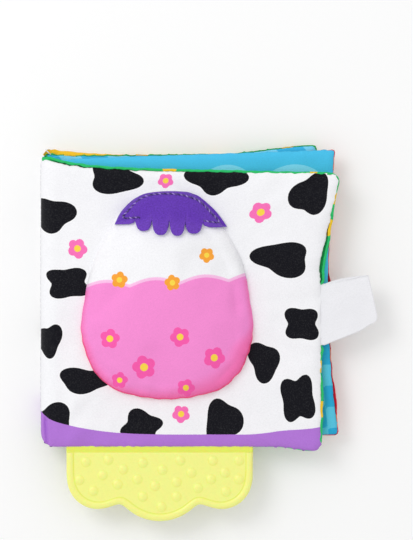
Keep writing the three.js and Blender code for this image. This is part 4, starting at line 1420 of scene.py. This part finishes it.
head_rings = np.concatenate([rim_rings, inner_rings])
local_x, local_y, cushion_x, cushion_y, depth, turn = ring_grid(head_rings, turned_outline)
low_side = calm_side + (1 - calm_side) * smooth(-local_y / calm_run)
gather = np.exp(-depth / crease_run) * smooth(depth / crease_start)
creases = [crease_height * seam_ripples(turn, *kind) for kind in (short_creases, wider_creases)]
crease = gather * low_side * (creases[0] + creases[1])
long_crease = crease_height * np.exp(-depth / long_run) * low_side * seam_ripples(turn, *long_creases)
dimple = dimple_height * ripples(cushion_x, cushion_y, *dimples) * smooth(depth / dimple_start)
seated = head_seat * (1 - smooth(depth / edge_run))
cushion_z = head_surface(cushion_x, cushion_y) - seated + crease + long_crease + dimple
wavy_edge = np.exp(-depth / edge_run) * low_side * wavy_share * seam_ripples(turn, *edge_waves)
cushion_x, cushion_y = cushion_x + local_x * wavy_edge, cushion_y + local_y * wavy_edge
cushion_top = np.stack([cushion_x, cushion_y, cushion_z], -1)
cushion_base = np.stack([cushion_x, cushion_y, cover_top(cushion_x, cushion_y) - sunk_base], -1)
cushion_mm = depth * depth_mm
border = pink_border(cushion_x, cushion_y)
# Painted shade that widens towards the lower right, where the dome turns away from the lamp.
painted_side_shade = cushion_mm - side_shade_width * smooth((local_x - side_shade_slant * local_y) / side_shade_run) - 1
cushion = body_between("cushion_cloth", cushion_top, cushion_base, {
    "cloth_place": np.stack([cushion_x, cushion_y, cushion_mm], -1),
    "pink": border,
    "flower": pink_flowers(local_x, local_y), "daisy": orange_flowers(local_x, local_y),
    "heart": np.minimum(pink_hearts(local_x, local_y), orange_hearts(local_x, local_y)),
    "painted_seam_shade": cushion_mm - seam_shade_width * low_side + seam_shade_off * smooth(border / 2 + 1),
    "painted_side_shade": painted_side_shade + side_shade_off * (1 - low_side),
})
put_on(cushion, "front_cover", "head_cushion_cloth", cushion_print, "pink_cloth")
print("cushion of", len(cushion.data.polygons), "faces")

# %% Stuffing
stuffing_share, stuffing_rings = 0.96, 16
stuffing_low, stuffing_start, stuffing_least = 0.5, 0.6, 0.9
stuffing_dome, under_cloth = head_dome - 1.4, 1.6
stuffing_grid = ring_grid(np.linspace(0, 1, stuffing_rings), turned_outline * stuffing_share)
_, _, fill_x, fill_y, fill_depth, _ = stuffing_grid
fill_low = cover_top(fill_x, fill_y)
fill_top = fill_low + stuffing_start + dome_height(fill_depth, stuffing_dome)
fill_top = np.minimum(fill_top, head_surface(fill_x, fill_y) - under_cloth)
fill_top = np.maximum(fill_top, fill_low + stuffing_least)
fill_faces = [np.stack([fill_x, fill_y, level], -1) for level in (fill_top, fill_low + stuffing_low)]
stuffing = body_between("cushion_stuffing", *fill_faces)
put_on(stuffing, "front_cover", "head_cushion_filling", wadding_fibre, "wadding")
print("stuffing of", len(stuffing.data.polygons), "faces")

# %% [markdown]
# ## The felt fringe
#
# The fringe is one piece of felt, cut with round tabs along its lower edge and held by one row of
# twisted thread along the top. The tabs hang free, and their ends stand a little off the cushion. A
# solid cut with a Boolean would have flat sides and hard edges. A grid between the top line and the
# tab line gives every tab its own bend. Both lines are written in pixels of the photograph.

# %% Outline of the felt
fringe_left, fringe_right = 115.6, 226.8
fringe_top = (
    (fringe_left, 224.8), (121, 213.5), (129.9, 203.4), (138.5, 197.3), (148.3, 193.7), (166.6, 191.9),
    (185, 192.3), (192.8, 194.3), (200.3, 197.8), (213.6, 209.5), (221, 218.4), (fringe_right, 227),
)
# The tabs: from one pixel to the next, where they start and how far they hang
fringe_tabs = (
    (fringe_left, 136.4, 221.2, 3.6), (136.4, 152.8, 221.2, 10.4), (152.8, 170, 221.8, 13.9),
    (170, 185.6, 223, 13.4), (185.6, 202.4, 224.2, 10), (202.4, fringe_right, 223.8, 4.2),
)
fringe_ends, fringe_end_level = ((125, 224.9), (216, 227.3)), 227.2
columns_per_tab, fringe_rows, top_steps = 28, 30, 240
tab_width, tab_squareness, tab_roundness, upright_share = 0.97, 2.9, 0.55, 0.6


def run_along(line):
    return np.concatenate([[0], np.cumsum(np.hypot(*np.diff(line, axis=0).T))])


def open_curve(corners, count):
    corners = np.array(corners, float)
    ends = [2 * corners[0] - corners[1]], corners, [2 * corners[-1] - corners[-2]]
    steps = count // (len(corners) - 1) + 1
    return np.concatenate([curve_between(np.concatenate(ends), steps), corners[-1:]])


tab_step = (1 - np.cos(np.linspace(0, np.pi, columns_per_tab, endpoint=False))) / 2
hanging = np.maximum(0, 1 - abs((2 * tab_step - 1) / tab_width) ** tab_squareness) ** tab_roundness
lower_x = np.concatenate([mix(left, right, tab_step) for left, right, _, _ in fringe_tabs])
lower_y = np.concatenate([level + drop * hanging for _, _, level, drop in fringe_tabs])
lower_x, lower_y = np.append(lower_x, fringe_right), np.append(lower_y, fringe_end_level)
tab_share = np.append(np.tile(tab_step, len(fringe_tabs)), 1.0)
(left_end, left_least), (right_end, right_least) = fringe_ends
lower_y = np.where(lower_x < left_end, np.maximum(lower_y, left_least), lower_y)
lower_y = np.where(lower_x > right_end, np.maximum(lower_y, right_least), lower_y)
upper_line = open_curve(fringe_top, top_steps)
upper_run = run_along(upper_line)
across_share = (lower_x - fringe_left) / (fringe_right - fringe_left)
upper_share = mix(np.linspace(0, 1, len(lower_x)), across_share, upright_share) * upper_run[-1]
upper_x, upper_y = (np.interp(upper_share, upper_run, axis) for axis in upper_line.T)
print("felt outline of", len(lower_x), "columns")

# %% Felt
felt_thick, felt_gap = 1.1, 0.15
felt_share_flat, felt_share_area = 1.12, 1.1
# The rows count from 0 at the top to 1 at the ends of the tabs, which lift off from lift_start on
edge_parts, notch_parts, end_columns, thin_end, thin_edge = 28, 7, 9, 0.3, 0.25
lift_start, lift_sway, sway_columns = 0.62, 0.25, 11
swell_top, swell_bottom, swell_height, swell_sway, swell_waves = 6, 5, 0.3, 0.22, (13, 14)
# From this row on, the hanging tabs are painted a little paler than the top of the felt: painted light.
tab_light_row, tab_light_mm, from_any_seam = 0.72, 12, 10
rows = (1 - np.cos(np.linspace(0, np.pi, fringe_rows))) / 2
felt_x, felt_y = photo_place(
    mix(upper_x[:, None], lower_x[:, None], rows), mix(upper_y[:, None], lower_y[:, None], rows)
)
column = np.arange(len(lower_x))
from_edge = np.minimum(1, np.minimum(rows, 1 - rows) * edge_parts)
edge_round = np.sqrt(np.clip(1 - (1 - from_edge) ** 2, 0, 1))
notch = smooth(np.minimum(tab_share, 1 - tab_share) * notch_parts)[:, None]
sway = (1 - lift_sway + lift_sway * np.sin(column / sway_columns))[:, None]
lift = rising(rows, lift_start, 1 - lift_start) * notch * sway
uneven = swell_height + swell_sway * ripples(felt_x, felt_y, *swell_waves)
swell = smooth(rows * swell_top) * smooth((1 - rows) * swell_bottom) * uneven
felt_base = head_surface(felt_x, felt_y) + felt_gap + lift + np.maximum(0, swell)
from_end = np.minimum(column, column[::-1])
end_round = smooth(thin_end + from_end / end_columns)[:, None]
half_thick = felt_thick / 2 * (thin_edge + (1 - thin_edge) * edge_round)[None, :] * end_round
felt_upper, felt_lower = (
    np.stack([felt_x, felt_y, felt_base + felt_thick / 2 + way * half_thick], -1)[::-1] for way in (1, -1)
)
felt_area = 0
for quad in grid_faces(*felt_x.shape):
    qx, qy = felt_x.ravel()[quad], felt_y.ravel()[quad]
    felt_area += abs(np.dot(qx, np.roll(qy, 1)) - np.dot(qy, np.roll(qx, 1))) / 2
fringe = body_between("felt_fringe", felt_upper, felt_lower, {
    "cloth_place": np.stack([felt_x, felt_y, np.full_like(felt_x, from_any_seam)], -1)[::-1],
    "tab": (tab_light_row - rows) * np.ones_like(felt_x) * tab_light_mm,
})
# The paler purple of the tabs is painted light.
felt_cloth = printed_cloth(
    "felt_cloth", paint(102, 58, 180), [("tab", paint(110, 66, 186), 0, 2.0)], pitch=0.9, nap=2.6,
    roughness=0.95, sheen=0.2, mottle=0.9,
)
put_on(fringe, "front_cover", "forelock_felt", felt_cloth, "felt")
felt_flat = (np.ptp(felt_x) * felt_share_flat * MM, np.ptp(felt_y) * felt_share_flat * MM)
print("felt of", round(felt_area), "square millimetres")

# %% [markdown]
# A stitch is a short plump length of thread, so it is a tube along a small arch, thick in its middle
# and pointed where it goes into the cloth. The thread of the fringe is dark purple, and each stitch
# gets a share of a pale purple, which is a painted highlight.

# %% Tubes and stitches
stitch_steps, stitch_end, stitch_plump, stitch_least = 9, 0.03, 0.35, 0.08


def faces_round(rings, sides):
    """The faces between rings of points, each ring after the one before."""
    at = np.arange(rings * sides).reshape(rings, sides)
    after = np.roll(at, -1, axis=1)
    return np.stack([at[:-1], after[:-1], after[1:], at[1:]], -1).reshape(-1, 4)


def tube(path, radius, sides=8, squash=1.0):
    """A tube along points. radius is one for each point, and squash flattens it from above."""
    path, radius = np.asarray(path, float), np.asarray(radius, float)
    ahead = np.gradient(path, axis=0)
    ahead /= np.linalg.norm(ahead, axis=1, keepdims=True)
    side = np.cross(ahead, (0, 0, 1.0))
    side /= np.maximum(np.linalg.norm(side, axis=1, keepdims=True), least_length)
    up = np.cross(side, ahead)
    angle = np.linspace(0, 2 * np.pi, sides, endpoint=False)[None, :, None]
    ring = np.cos(angle) * side[:, None] + squash * np.sin(angle) * up[:, None]
    points = (path[:, None] + radius[:, None, None] * ring).reshape(-1, 3)
    return points, faces_round(len(path), sides)


def stitch(start, end, width, arch):
    """One stitch: a short plump length of thread that dips into the cloth at both ends."""
    t = np.linspace(0, 1, stitch_steps)
    path = mix(np.array(start), np.array(end), t[:, None])
    path[:, 2] += arch * np.sin(np.pi * t)
    plump = np.sin(np.pi * mix(stitch_end, 1 - stitch_end, t)) ** stitch_plump
    return tube(path, width * np.maximum(stitch_least, plump))


def joined(name, parts, tones):
    """One object from several lots of points and faces. tones gives a number to each of them."""
    points, faces, values, first = [], [], [], 0
    for (some_points, some_faces), tone in zip(parts, tones):
        points.append(some_points)
        faces.append(some_faces + first)
        values.append(np.full(len(some_points), tone))
        first += len(some_points)
    points, faces, values = (np.concatenate(lot) for lot in (points, faces, values))
    return place_object(name, points, faces, {"tone": values})


def along_curve(line, pitch):
    run = run_along(line)
    places = np.linspace(0, run[-1], max(2, round(run[-1] / pitch) + 1))
    return np.stack([np.interp(places, run, line[:, 0]), np.interp(places, run, line[:, 1])], -1)


print("a stitch has", len(stitch((0, 0, 0), (1, 0, 0), 1, 1)[0]), "points")

# %% Thread
fibre_scale, fibre_detail, fibre_tone, fibre_darkest = 2.5 / MM, 3.0, 0.3, 0.85
fibre_bump, fibre_depth = 0.5, 0.08


def thread_material(name, first, second):
    material, tree, shader = new_material(name)
    fibre = noise(tree, add(tree, "TexCoord").node.outputs["Object"], fibre_scale, fibre_detail)
    colour = mix_colour(tree, carried(tree, "tone"), first, second)
    tone = math(tree, "MULTIPLY_ADD", fibre, fibre_tone, fibre_darkest)
    shaded = use_group(tree, seam_shade, Colour=colour, Tone=tone)["Colour"]
    normal = bumped(tree, fibre, fibre_bump, fibre_depth)
    set_inputs(tree, shader, Base_Color=shaded, Normal=normal, Roughness=0.55, Sheen_Weight=0.2)
    return material


# The pale purple of the fringe thread is a painted highlight on the dark purple.
fringe_thread = thread_material("fringe_thread", paint(40, 14, 92), paint(178, 150, 226))
white_thread = thread_material("white_thread", paint(240, 240, 243), paint(225, 225, 230))
print("threads:", fringe_thread.name, white_thread.name)

# %% Stitches of the fringe
stitch_pitch, stitch_width, stitch_arch = 1.45, 0.33, 0.25
stitch_gap, stitch_slant, over_felt = 0.02, 0.3, 0.3
# How much of the pale purple, a painted highlight, each stitch in turn gets
stitch_highlights = (0, 0.55, 0.05, 0.85, 0.15)
row_steps = 200
felt_row = open_curve((
    (141, 218), (131, 218.6), (123.4, 218), (129.9, 210.5), (139, 201.3), (150.3, 195.9), (166.6, 194.4),
    (183, 195.9), (197.2, 200.8), (205, 207), (211.5, 214), (219.2, 222.6), (211, 222.4), (203.4, 221.4),
), row_steps)
felt_points = along_curve(np.stack(photo_place(*felt_row.T), -1), stitch_pitch)
felt_stitches = []
for a, b in zip(felt_points[:-1], felt_points[1:]):
    run = b - a
    slant = np.array([-run[1], run[0]]) * stitch_slant
    a, b = a + run * stitch_gap + slant, b - run * stitch_gap - slant
    heights = [float(head_surface(*end)) + felt_gap + felt_thick + over_felt for end in (a, b)]
    felt_stitches.append(stitch((*a, heights[0]), (*b, heights[1]), stitch_width, stitch_arch))
felt_stitch_highlights = [stitch_highlights[k % len(stitch_highlights)] for k in range(len(felt_stitches))]
fringe_row = joined("fringe_stitches", felt_stitches, felt_stitch_highlights)
put_on(fringe_row, "front_cover", "forelock_stitching", fringe_thread, "felt_thread")
print(len(felt_stitches), "stitches hold the fringe")

# %% [markdown]
# Along the fold of the spine a row of white stitches holds the four sheets together. Each one is a
# separate short thread with a needle hole at each end.

# %% Stitches of the spine
spine_pitch, needle_gap = 3.1, 0.15
spine_width, spine_arch, loose_width = 0.3, 0.06, 0.28
spine_low = front_cover.middle - front_cover.half + front_cover.tuck
spine_high = back_cover.half - 4
spine_marks = np.linspace(spine_low, spine_high, round((spine_high - spine_low) / spine_pitch) + 1)
spine_parts = []
for low, high in zip(spine_marks + needle_gap, spine_marks[1:] - needle_gap):
    ends = (fold_x, low, fold_z), (fold_x, high, fold_z)
    spine_parts.append(stitch(*ends, spine_width, spine_arch))
# The loose end of the thread: pixels of the photograph, and millimetres over the fold
loose_end = [(*photo_place(px, py), fold_z + up) for px, py, up in (
    (46.1, 149.6, 1.2), (47.4, 151.4, 2.6), (49.0, 153.0, 2.8), (50.8, 154.8, 1.4),
)]
spine_parts.append(tube(loose_end, [loose_width] * len(loose_end)))
spine_row = joined("spine_stitches", spine_parts, [0.5] * len(spine_parts))
put_on(spine_row, "back_cover", "spine_stitching", white_thread, "thread")
print(len(spine_parts), "stitches along the spine")

# %% [markdown]
# ## The teether
#
# The teether is one moulding of soft silicone: a scalloped plate with a thick round rim, small bumps to
# chew on, and a thin web that runs up into the bottom seam, where a flange behind it stops it from
# being pulled out. Plates, tubes and domes are put together roughly and then made one skin by a voxel
# remesh, because moulded silicone has no sharp inner corner anywhere.

# %% Outline of the teether
seam_z = fold_z + cover_seam
teether_out, teether_width, teether_depth = 63.6, 99.3, 38.4
teether_x, teether_y = fold_x + teether_out, joints["teether_bend"]["pos_m"][1] / MM
web_start, web_length = 0.55, 1.0
web_low = -web_start - web_length
outline_step, outline_ease, inner_ease = 0.4, 2.6, 0.5
# Shares of half the width and of the depth: the side lobe, the cusp between the lobes and its curve
lobe_middle, lobe_level, lobe_depth = 0.685, 0.41, 0.83
cusp_across, cusp_depth, cusp_reach, cusp_inset = 0.425, 0.735, 0.42, 0.6
side_steps_round, cusp_steps, middle_steps = 25, 12, 24


def rounded_line(corners, ease):
    """The same line in even small steps, with its sharp corners eased."""
    run = run_along(corners)
    count = int(run[-1] / outline_step)
    even = [np.interp(np.linspace(0, run[-1], count), run, axis) for axis in corners.T]
    reach = int(3 * ease / outline_step)
    weight = np.exp(-0.5 * (np.arange(-reach, reach + 1) * outline_step / ease) ** 2)
    weight /= weight.sum()
    ends = smooth(np.minimum(np.arange(count), np.arange(count)[::-1]) / reach)
    eased = [np.convolve(np.pad(axis, reach, mode="edge"), weight, mode="valid") for axis in even]
    return np.stack([mix(axis, calmer, ends) for axis, calmer in zip(even, eased)], -1)


def teether_outline(inset):
    """One half goes down a side lobe to the cusp and along the middle lobe. The other mirrors it."""
    half, deep = teether_width / 2 - inset, teether_depth - inset
    side = teether_depth * lobe_level
    lobe_x, drop = half * lobe_middle, deep * lobe_depth - side
    angle = np.linspace(0, np.pi / 2, side_steps_round)
    side_lobe = mix(lobe_x, half, np.cos(angle)), -side - drop * np.sin(angle)
    cusp_x, cusp_y = half * cusp_across, -deep * cusp_depth + inset * cusp_inset
    inner = half * cusp_reach
    cusp_angle = np.arcsin((lobe_x - cusp_x) / inner)
    scale = (-side - cusp_y) / (drop * np.cos(cusp_angle))
    step = np.arange(1, cusp_steps + 1)
    angle = cusp_angle * step / cusp_steps
    longer = mix(1, scale, step / cusp_steps)
    to_cusp = lobe_x - inner * np.sin(angle), -side - drop * np.cos(angle) * longer
    rise = deep + cusp_y
    radius = (cusp_x**2 + rise**2) / (2 * rise)
    angle = np.arcsin(cusp_x / radius) * (1 - np.arange(1, middle_steps) / middle_steps)
    middle_lobe = radius * np.sin(angle), radius - deep - radius * np.cos(angle)
    points = np.concatenate([side_lobe, to_cusp, middle_lobe], axis=1).T
    corners = [(half, web_low)], points, [(0, -deep)], points[::-1] * (-1, 1), [(-half, web_low)]
    return rounded_line(np.concatenate(corners), outline_ease + inner_ease * inset)


print("teether outline of", len(teether_outline(0)), "points")

# %% Parts of the moulding
dome_sides, dome_steps, dome_closed = 24, 7, 0.96
rim_sides = 16


def capped(points, sides):
    """A closed body from rings of points, with one flat face at each end."""
    corners = np.arange(len(points)).reshape(-1, sides)
    return points, [*faces_round(len(corners), sides), corners[0, ::-1], corners[-1]]


def prism(outline, low, high):
    """A flat plate between two levels."""
    levels = [np.column_stack([outline, np.full(len(outline), level)]) for level in (low, high)]
    return capped(np.concatenate(levels), len(outline))


def slab(half, low, high, thick):
    return prism([(-half, low), (half, low), (half, high), (-half, high)], -thick / 2, thick / 2)


def dome(x, y, base, radius, height):
    rise = np.pi / 2 * np.arange(dome_steps)[:, None] / (dome_steps - 1) * dome_closed
    angle = 2 * np.pi * np.arange(dome_sides) / dome_sides
    reach = radius * np.cos(rise)
    level = np.repeat(base + height * np.sin(rise), dome_sides, axis=1)
    rings = np.stack([x + reach * np.cos(angle), y + reach * np.sin(angle), level], -1)
    return capped(rings.reshape(-1, 3), dome_sides)


def rim_tube(line, half_width, half_height):
    """An oval tube along the rim, in the plane of the teether and flat at both ends."""
    path = np.column_stack([line, np.zeros(len(line))])
    points, _ = tube(path, np.full(len(line), half_width), rim_sides, half_height / half_width)
    return capped(points, rim_sides)


def all_together(lots):
    """One list of points and one of faces from several bodies."""
    points, faces = [], []
    for some_points, some_faces in lots:
        faces += [(np.array(face) + len(points)).tolist() for face in some_faces]
        points += list(some_points)
    return np.array(points), faces


print("a dome has", len(dome(0, 0, 0, 1, 1)[1]), "faces")

# %% One skin of silicone
# The bumps, as shares: across from the middle to the side, and down from the seam to the tip
bump_shares = (
    (-0.79, 0.17), (-0.55, 0.14), (-0.18, 0.18), (0.22, 0.15), (0.57, 0.15), (0.85, 0.15), (-0.39, 0.27),
    (0.03, 0.28), (0.34, 0.32), (0.7, 0.32), (-0.86, 0.42), (-0.61, 0.35), (-0.24, 0.41), (0.18, 0.45),
    (0.55, 0.41), (0.85, 0.41), (-0.71, 0.57), (-0.45, 0.48), (-0.05, 0.5), (0.41, 0.53), (0.71, 0.58),
    (-0.18, 0.65), (0.18, 0.65), (0.02, 0.79),
)
bump_radius, bump_height, bump_base = 2.6, 1.2, 0.8
rim_half_height, rim_half_width = 1.8, 2.15
plate_half, web_thick, web_into_plate, web_high = 1.2, 1.2, 2, 2.2
flange_share, flange_low, flange_high, flange_thick = 0.93, 1.2, 7.2, 1.0
skin_step, soften_share, soften_times = 0.42, 0.5, 3

rim_line = teether_outline(rim_half_width)
bump_places = [(across * teether_width / 2, -down * teether_depth) for across, down in bump_shares]
rough_points, rough_faces = all_together([
    prism(rim_line, -plate_half, plate_half), rim_tube(rim_line, rim_half_width, rim_half_height),
    slab(teether_width / 2, web_low - web_into_plate, web_high, web_thick),
    slab(teether_width * flange_share / 2, flange_low, flange_high, flange_thick),
    *[dome(x, y, bump_base, bump_radius, bump_height) for x, y in bump_places],
])
placed = (rough_points + (teether_x, teether_y, seam_z)) * MM
rough = bpy.data.meshes.new("teether_rough")
rough.from_pydata(placed.tolist(), [], rough_faces)
teether = bpy.data.objects.new("teether_silicone", rough)
bpy.context.scene.collection.objects.link(teether)
remesh = teether.modifiers.new("skin", "REMESH")
remesh.mode = "VOXEL"
remesh.voxel_size = skin_step * MM
soften = teether.modifiers.new("soften", "SMOOTH")
soften.factor = soften_share
soften.iterations = soften_times
skin = bpy.data.meshes.new_from_object(teether.evaluated_get(bpy.context.evaluated_depsgraph_get()))
teether.modifiers.clear()
teether.data = skin
skin.shade_smooth()
print("skin of", len(skin.vertices), "points")

# %% [markdown]
# The lime colour is made deeper in three places. In the groove inside the rim and at the foot of each
# bump it is painted shade. In the thin web it is partly the deeper tone of thin silicone and partly
# painted shade. The skin carries its distance from these places, and the edges of the prints draw
# them as they draw a printed shape.

# %% Silicone and its joint
# Where the painted shade of the groove and of the feet of the bumps lies
groove_inset, groove_half = 2 * rim_half_width - 0.5, 0.3
foot_radius, foot_half = 2.5, 0.15


def from_line(x, y, line):
    """The least distance of each place from a line."""
    nearest = np.full(len(x), far_away)
    for (ax, ay), (bx, by) in zip(line[:-1], line[1:]):
        run_x, run_y = bx - ax, by - ay
        share = np.clip(((x - ax) * run_x + (y - ay) * run_y) / (run_x**2 + run_y**2), 0, 1)
        nearest = np.minimum(nearest, np.hypot(x - mix(ax, bx, share), y - mix(ay, by, share)))
    return nearest


def to_foot(x, y, at_x, at_y):
    return abs(np.hypot(x - at_x, y - at_y) - foot_radius)


def silicone_material():
    """Lime silicone with painted shade in the groove along the rim and round the bumps, and a deeper tone in
    the thin web that is partly painted shade.
    """
    material = plain_material(
        "lime_silicone", paint(252, 255, 142), 0.4, 0.9, 0.03, Subsurface_Weight=0.25,
        Subsurface_Scale=2 * MM, Coat_Weight=0.15, Coat_Roughness=0.35,
    )
    tree = material.node_tree
    shader = tree.nodes["Principled BSDF"]
    place = add(tree, "TexCoord").node.outputs["Object"]
    colour = shader.inputs["Base Color"].links[0].from_socket
    # Painted shade in the groove and round the bumps; in the web partly a deeper tone and partly painted
    # shade.
    for label, deeper, softness in (
        ("groove", paint(230, 240, 78), 0.4), ("web", paint(236, 244, 92), 0.3),
        ("bump", paint(241, 248, 112), 0.5),
    ):
        colour = printed_over(tree, place, colour, deeper, carried(tree, label), softness)
    tree.links.new(colour, shader.inputs["Base Color"])
    return material


skin_places = np.empty(3 * len(skin.vertices))
skin.vertices.foreach_get("co", skin_places)
skin_x, skin_y, _ = (skin_places.reshape(-1, 3) / MM - (teether_x, teether_y, seam_z)).T
for label, values in (
    ("groove", from_line(skin_x, skin_y, teether_outline(groove_inset)) - groove_half),
    ("web", web_low - skin_y),
    ("bump", nearest_of(bump_places, to_foot)(skin_x, skin_y) - foot_half),
):
    skin.attributes.new(label, "FLOAT", "POINT").data.foreach_set("value", values.astype(np.float32))
skin.materials.append(silicone_material())
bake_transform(teether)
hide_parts("teether", "teether_flange")
print("teether of", len(skin.polygons), "faces")

# %% [markdown]
# ## The ribbon loop
#
# A short length of white satin ribbon is folded in half and both its ends are sewn into the fore-edge
# seam. The ends are not quite on top of each other, so a sliver of the lower layer shows at the top. A
# single strip follows the whole run: out on top, round the fold and back below.

# %% Ribbon from above
loop_x, loop_y, _ = (value / MM for value in joints["loop_bend"]["pos_m"])
loop_root, end_depth = 32.2, 7.2
loop_corners = np.array([(0, 0.5), (0, -0.5), (0.885, -0.155), (0.7, 0.64)]) * loop_root
slip_out, slip_least, slip_power, layer_share = 0.35, 0.5, 0.8, 0.5
folded_corner, folded_from, folded_in, folded_up, fold_power = 0.78, 0.6, 2.6, 0.25, 2.4


def ribbon_place(along, across, layer):
    """A place on the loop seen from above. along runs out to 1 at the fold, across down from the top
    edge, and layer is 1 above and -1 below."""
    root_top, root_bottom, fold_bottom, fold_top = loop_corners
    outward = np.maximum(along, 0)[..., None]
    slip_up = slip_least + np.sin(np.pi * np.clip(along, 0, 1) ** slip_power)
    slip = np.stack([np.full_like(along, slip_out), slip_up], -1) * (1 - layer)[..., None] * layer_share
    top = mix(root_top, fold_top, outward) + slip
    bottom = mix(root_bottom, fold_bottom, outward) + slip * 0.5
    place = mix(top, bottom, across[..., None])
    corner = np.maximum(0, across - folded_corner) / (1 - folded_corner)
    tuck = folded_in * corner**fold_power * rising(along, folded_from, 1 - folded_from)
    place[..., 0] += np.where(along < 0, along * end_depth, web_start) - tuck
    place[..., 1] += folded_up * tuck
    return loop_x + place[..., 0], loop_y + place[..., 1]


print("loop sewn in over", loop_root, "mm of the fore-edge")

# %% Ribbon
ribbon_thick = 0.4
rows_inside, rows_outside, rows_round, ribbon_columns = 12, 44, 17, 41
shut_gap, open_gap, gap_middle, gap_sway, sway_rate, fold_bulge = 0.3, 0.55, 0.55, 0.25, 5, 0.9
wrinkle_height, wrinkle_waves, wrinkle_run, closer_rows = 0.16, (17, 31), 3, 1.35
run_of_layer, sewn_margin = 27, 1.2
layer_length, round_length = 26.7, 3

outside = 1 - (1 - np.linspace(0, 1, rows_outside)) ** closer_rows
out = np.concatenate([np.linspace(-1, 0, rows_inside, endpoint=False), outside])
bend = np.linspace(np.pi / 2, -np.pi / 2, rows_round)
along = np.concatenate([out, np.ones(rows_round - 2), out[::-1]])
turn_angle = np.concatenate([np.full(len(out), bend[0]), bend[1:-1], np.full(len(out), bend[-1])])
across = np.linspace(0, 1, ribbon_columns)
along_grid, across_grid = np.meshgrid(along, across, indexing="ij")
angle_grid = np.repeat(turn_angle[:, None], ribbon_columns, axis=1)
ribbon_x, ribbon_y = ribbon_place(along_grid, across_grid, np.sin(angle_grid))
opened = smooth(along_grid) * (gap_middle + gap_sway * np.sin(across_grid * sway_rate))
half_gap = shut_gap + open_gap * opened
wrinkle = wrinkle_height * ripples(ribbon_x, ribbon_y, *wrinkle_waves) * smooth(along_grid * wrinkle_run)
ribbon_z = seam_z + half_gap * np.sin(angle_grid) + wrinkle
ribbon_x = ribbon_x + half_gap * np.cos(angle_grid) * fold_bulge
ribbon_face = np.stack([ribbon_x, ribbon_y, ribbon_z], -1)
ribbon_out = ribbon_face + ribbon_thick * grid_normals(ribbon_face)
ribbon_run = np.concatenate([[0], np.cumsum(abs(np.diff(along)) * run_of_layer)])
run_grid = np.repeat(ribbon_run[:, None], ribbon_columns, axis=1)
# Near both long edges this distance makes the seam shade darken the satin: painted shade.
from_edge = np.minimum(across_grid, 1 - across_grid) * loop_root + sewn_margin
ribbon = body_between("ribbon_loop", ribbon_out, ribbon_face, {
    "cloth_place": np.stack([across_grid * loop_root, run_grid, from_edge], -1),
})
satin = printed_cloth(
    "white_satin", paint(244, 244, 248), [], pitch=0.3, nap=0.15, roughness=0.38, sheen=0.1
)
ribbon.data.materials.append(satin)
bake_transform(ribbon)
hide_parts("loop_tag", "loop_tag_ends")
ribbon_length = 2 * (end_depth + web_start + layer_length) + round_length
print("ribbon", loop_root, "by", round(ribbon_length, 1), "mm")
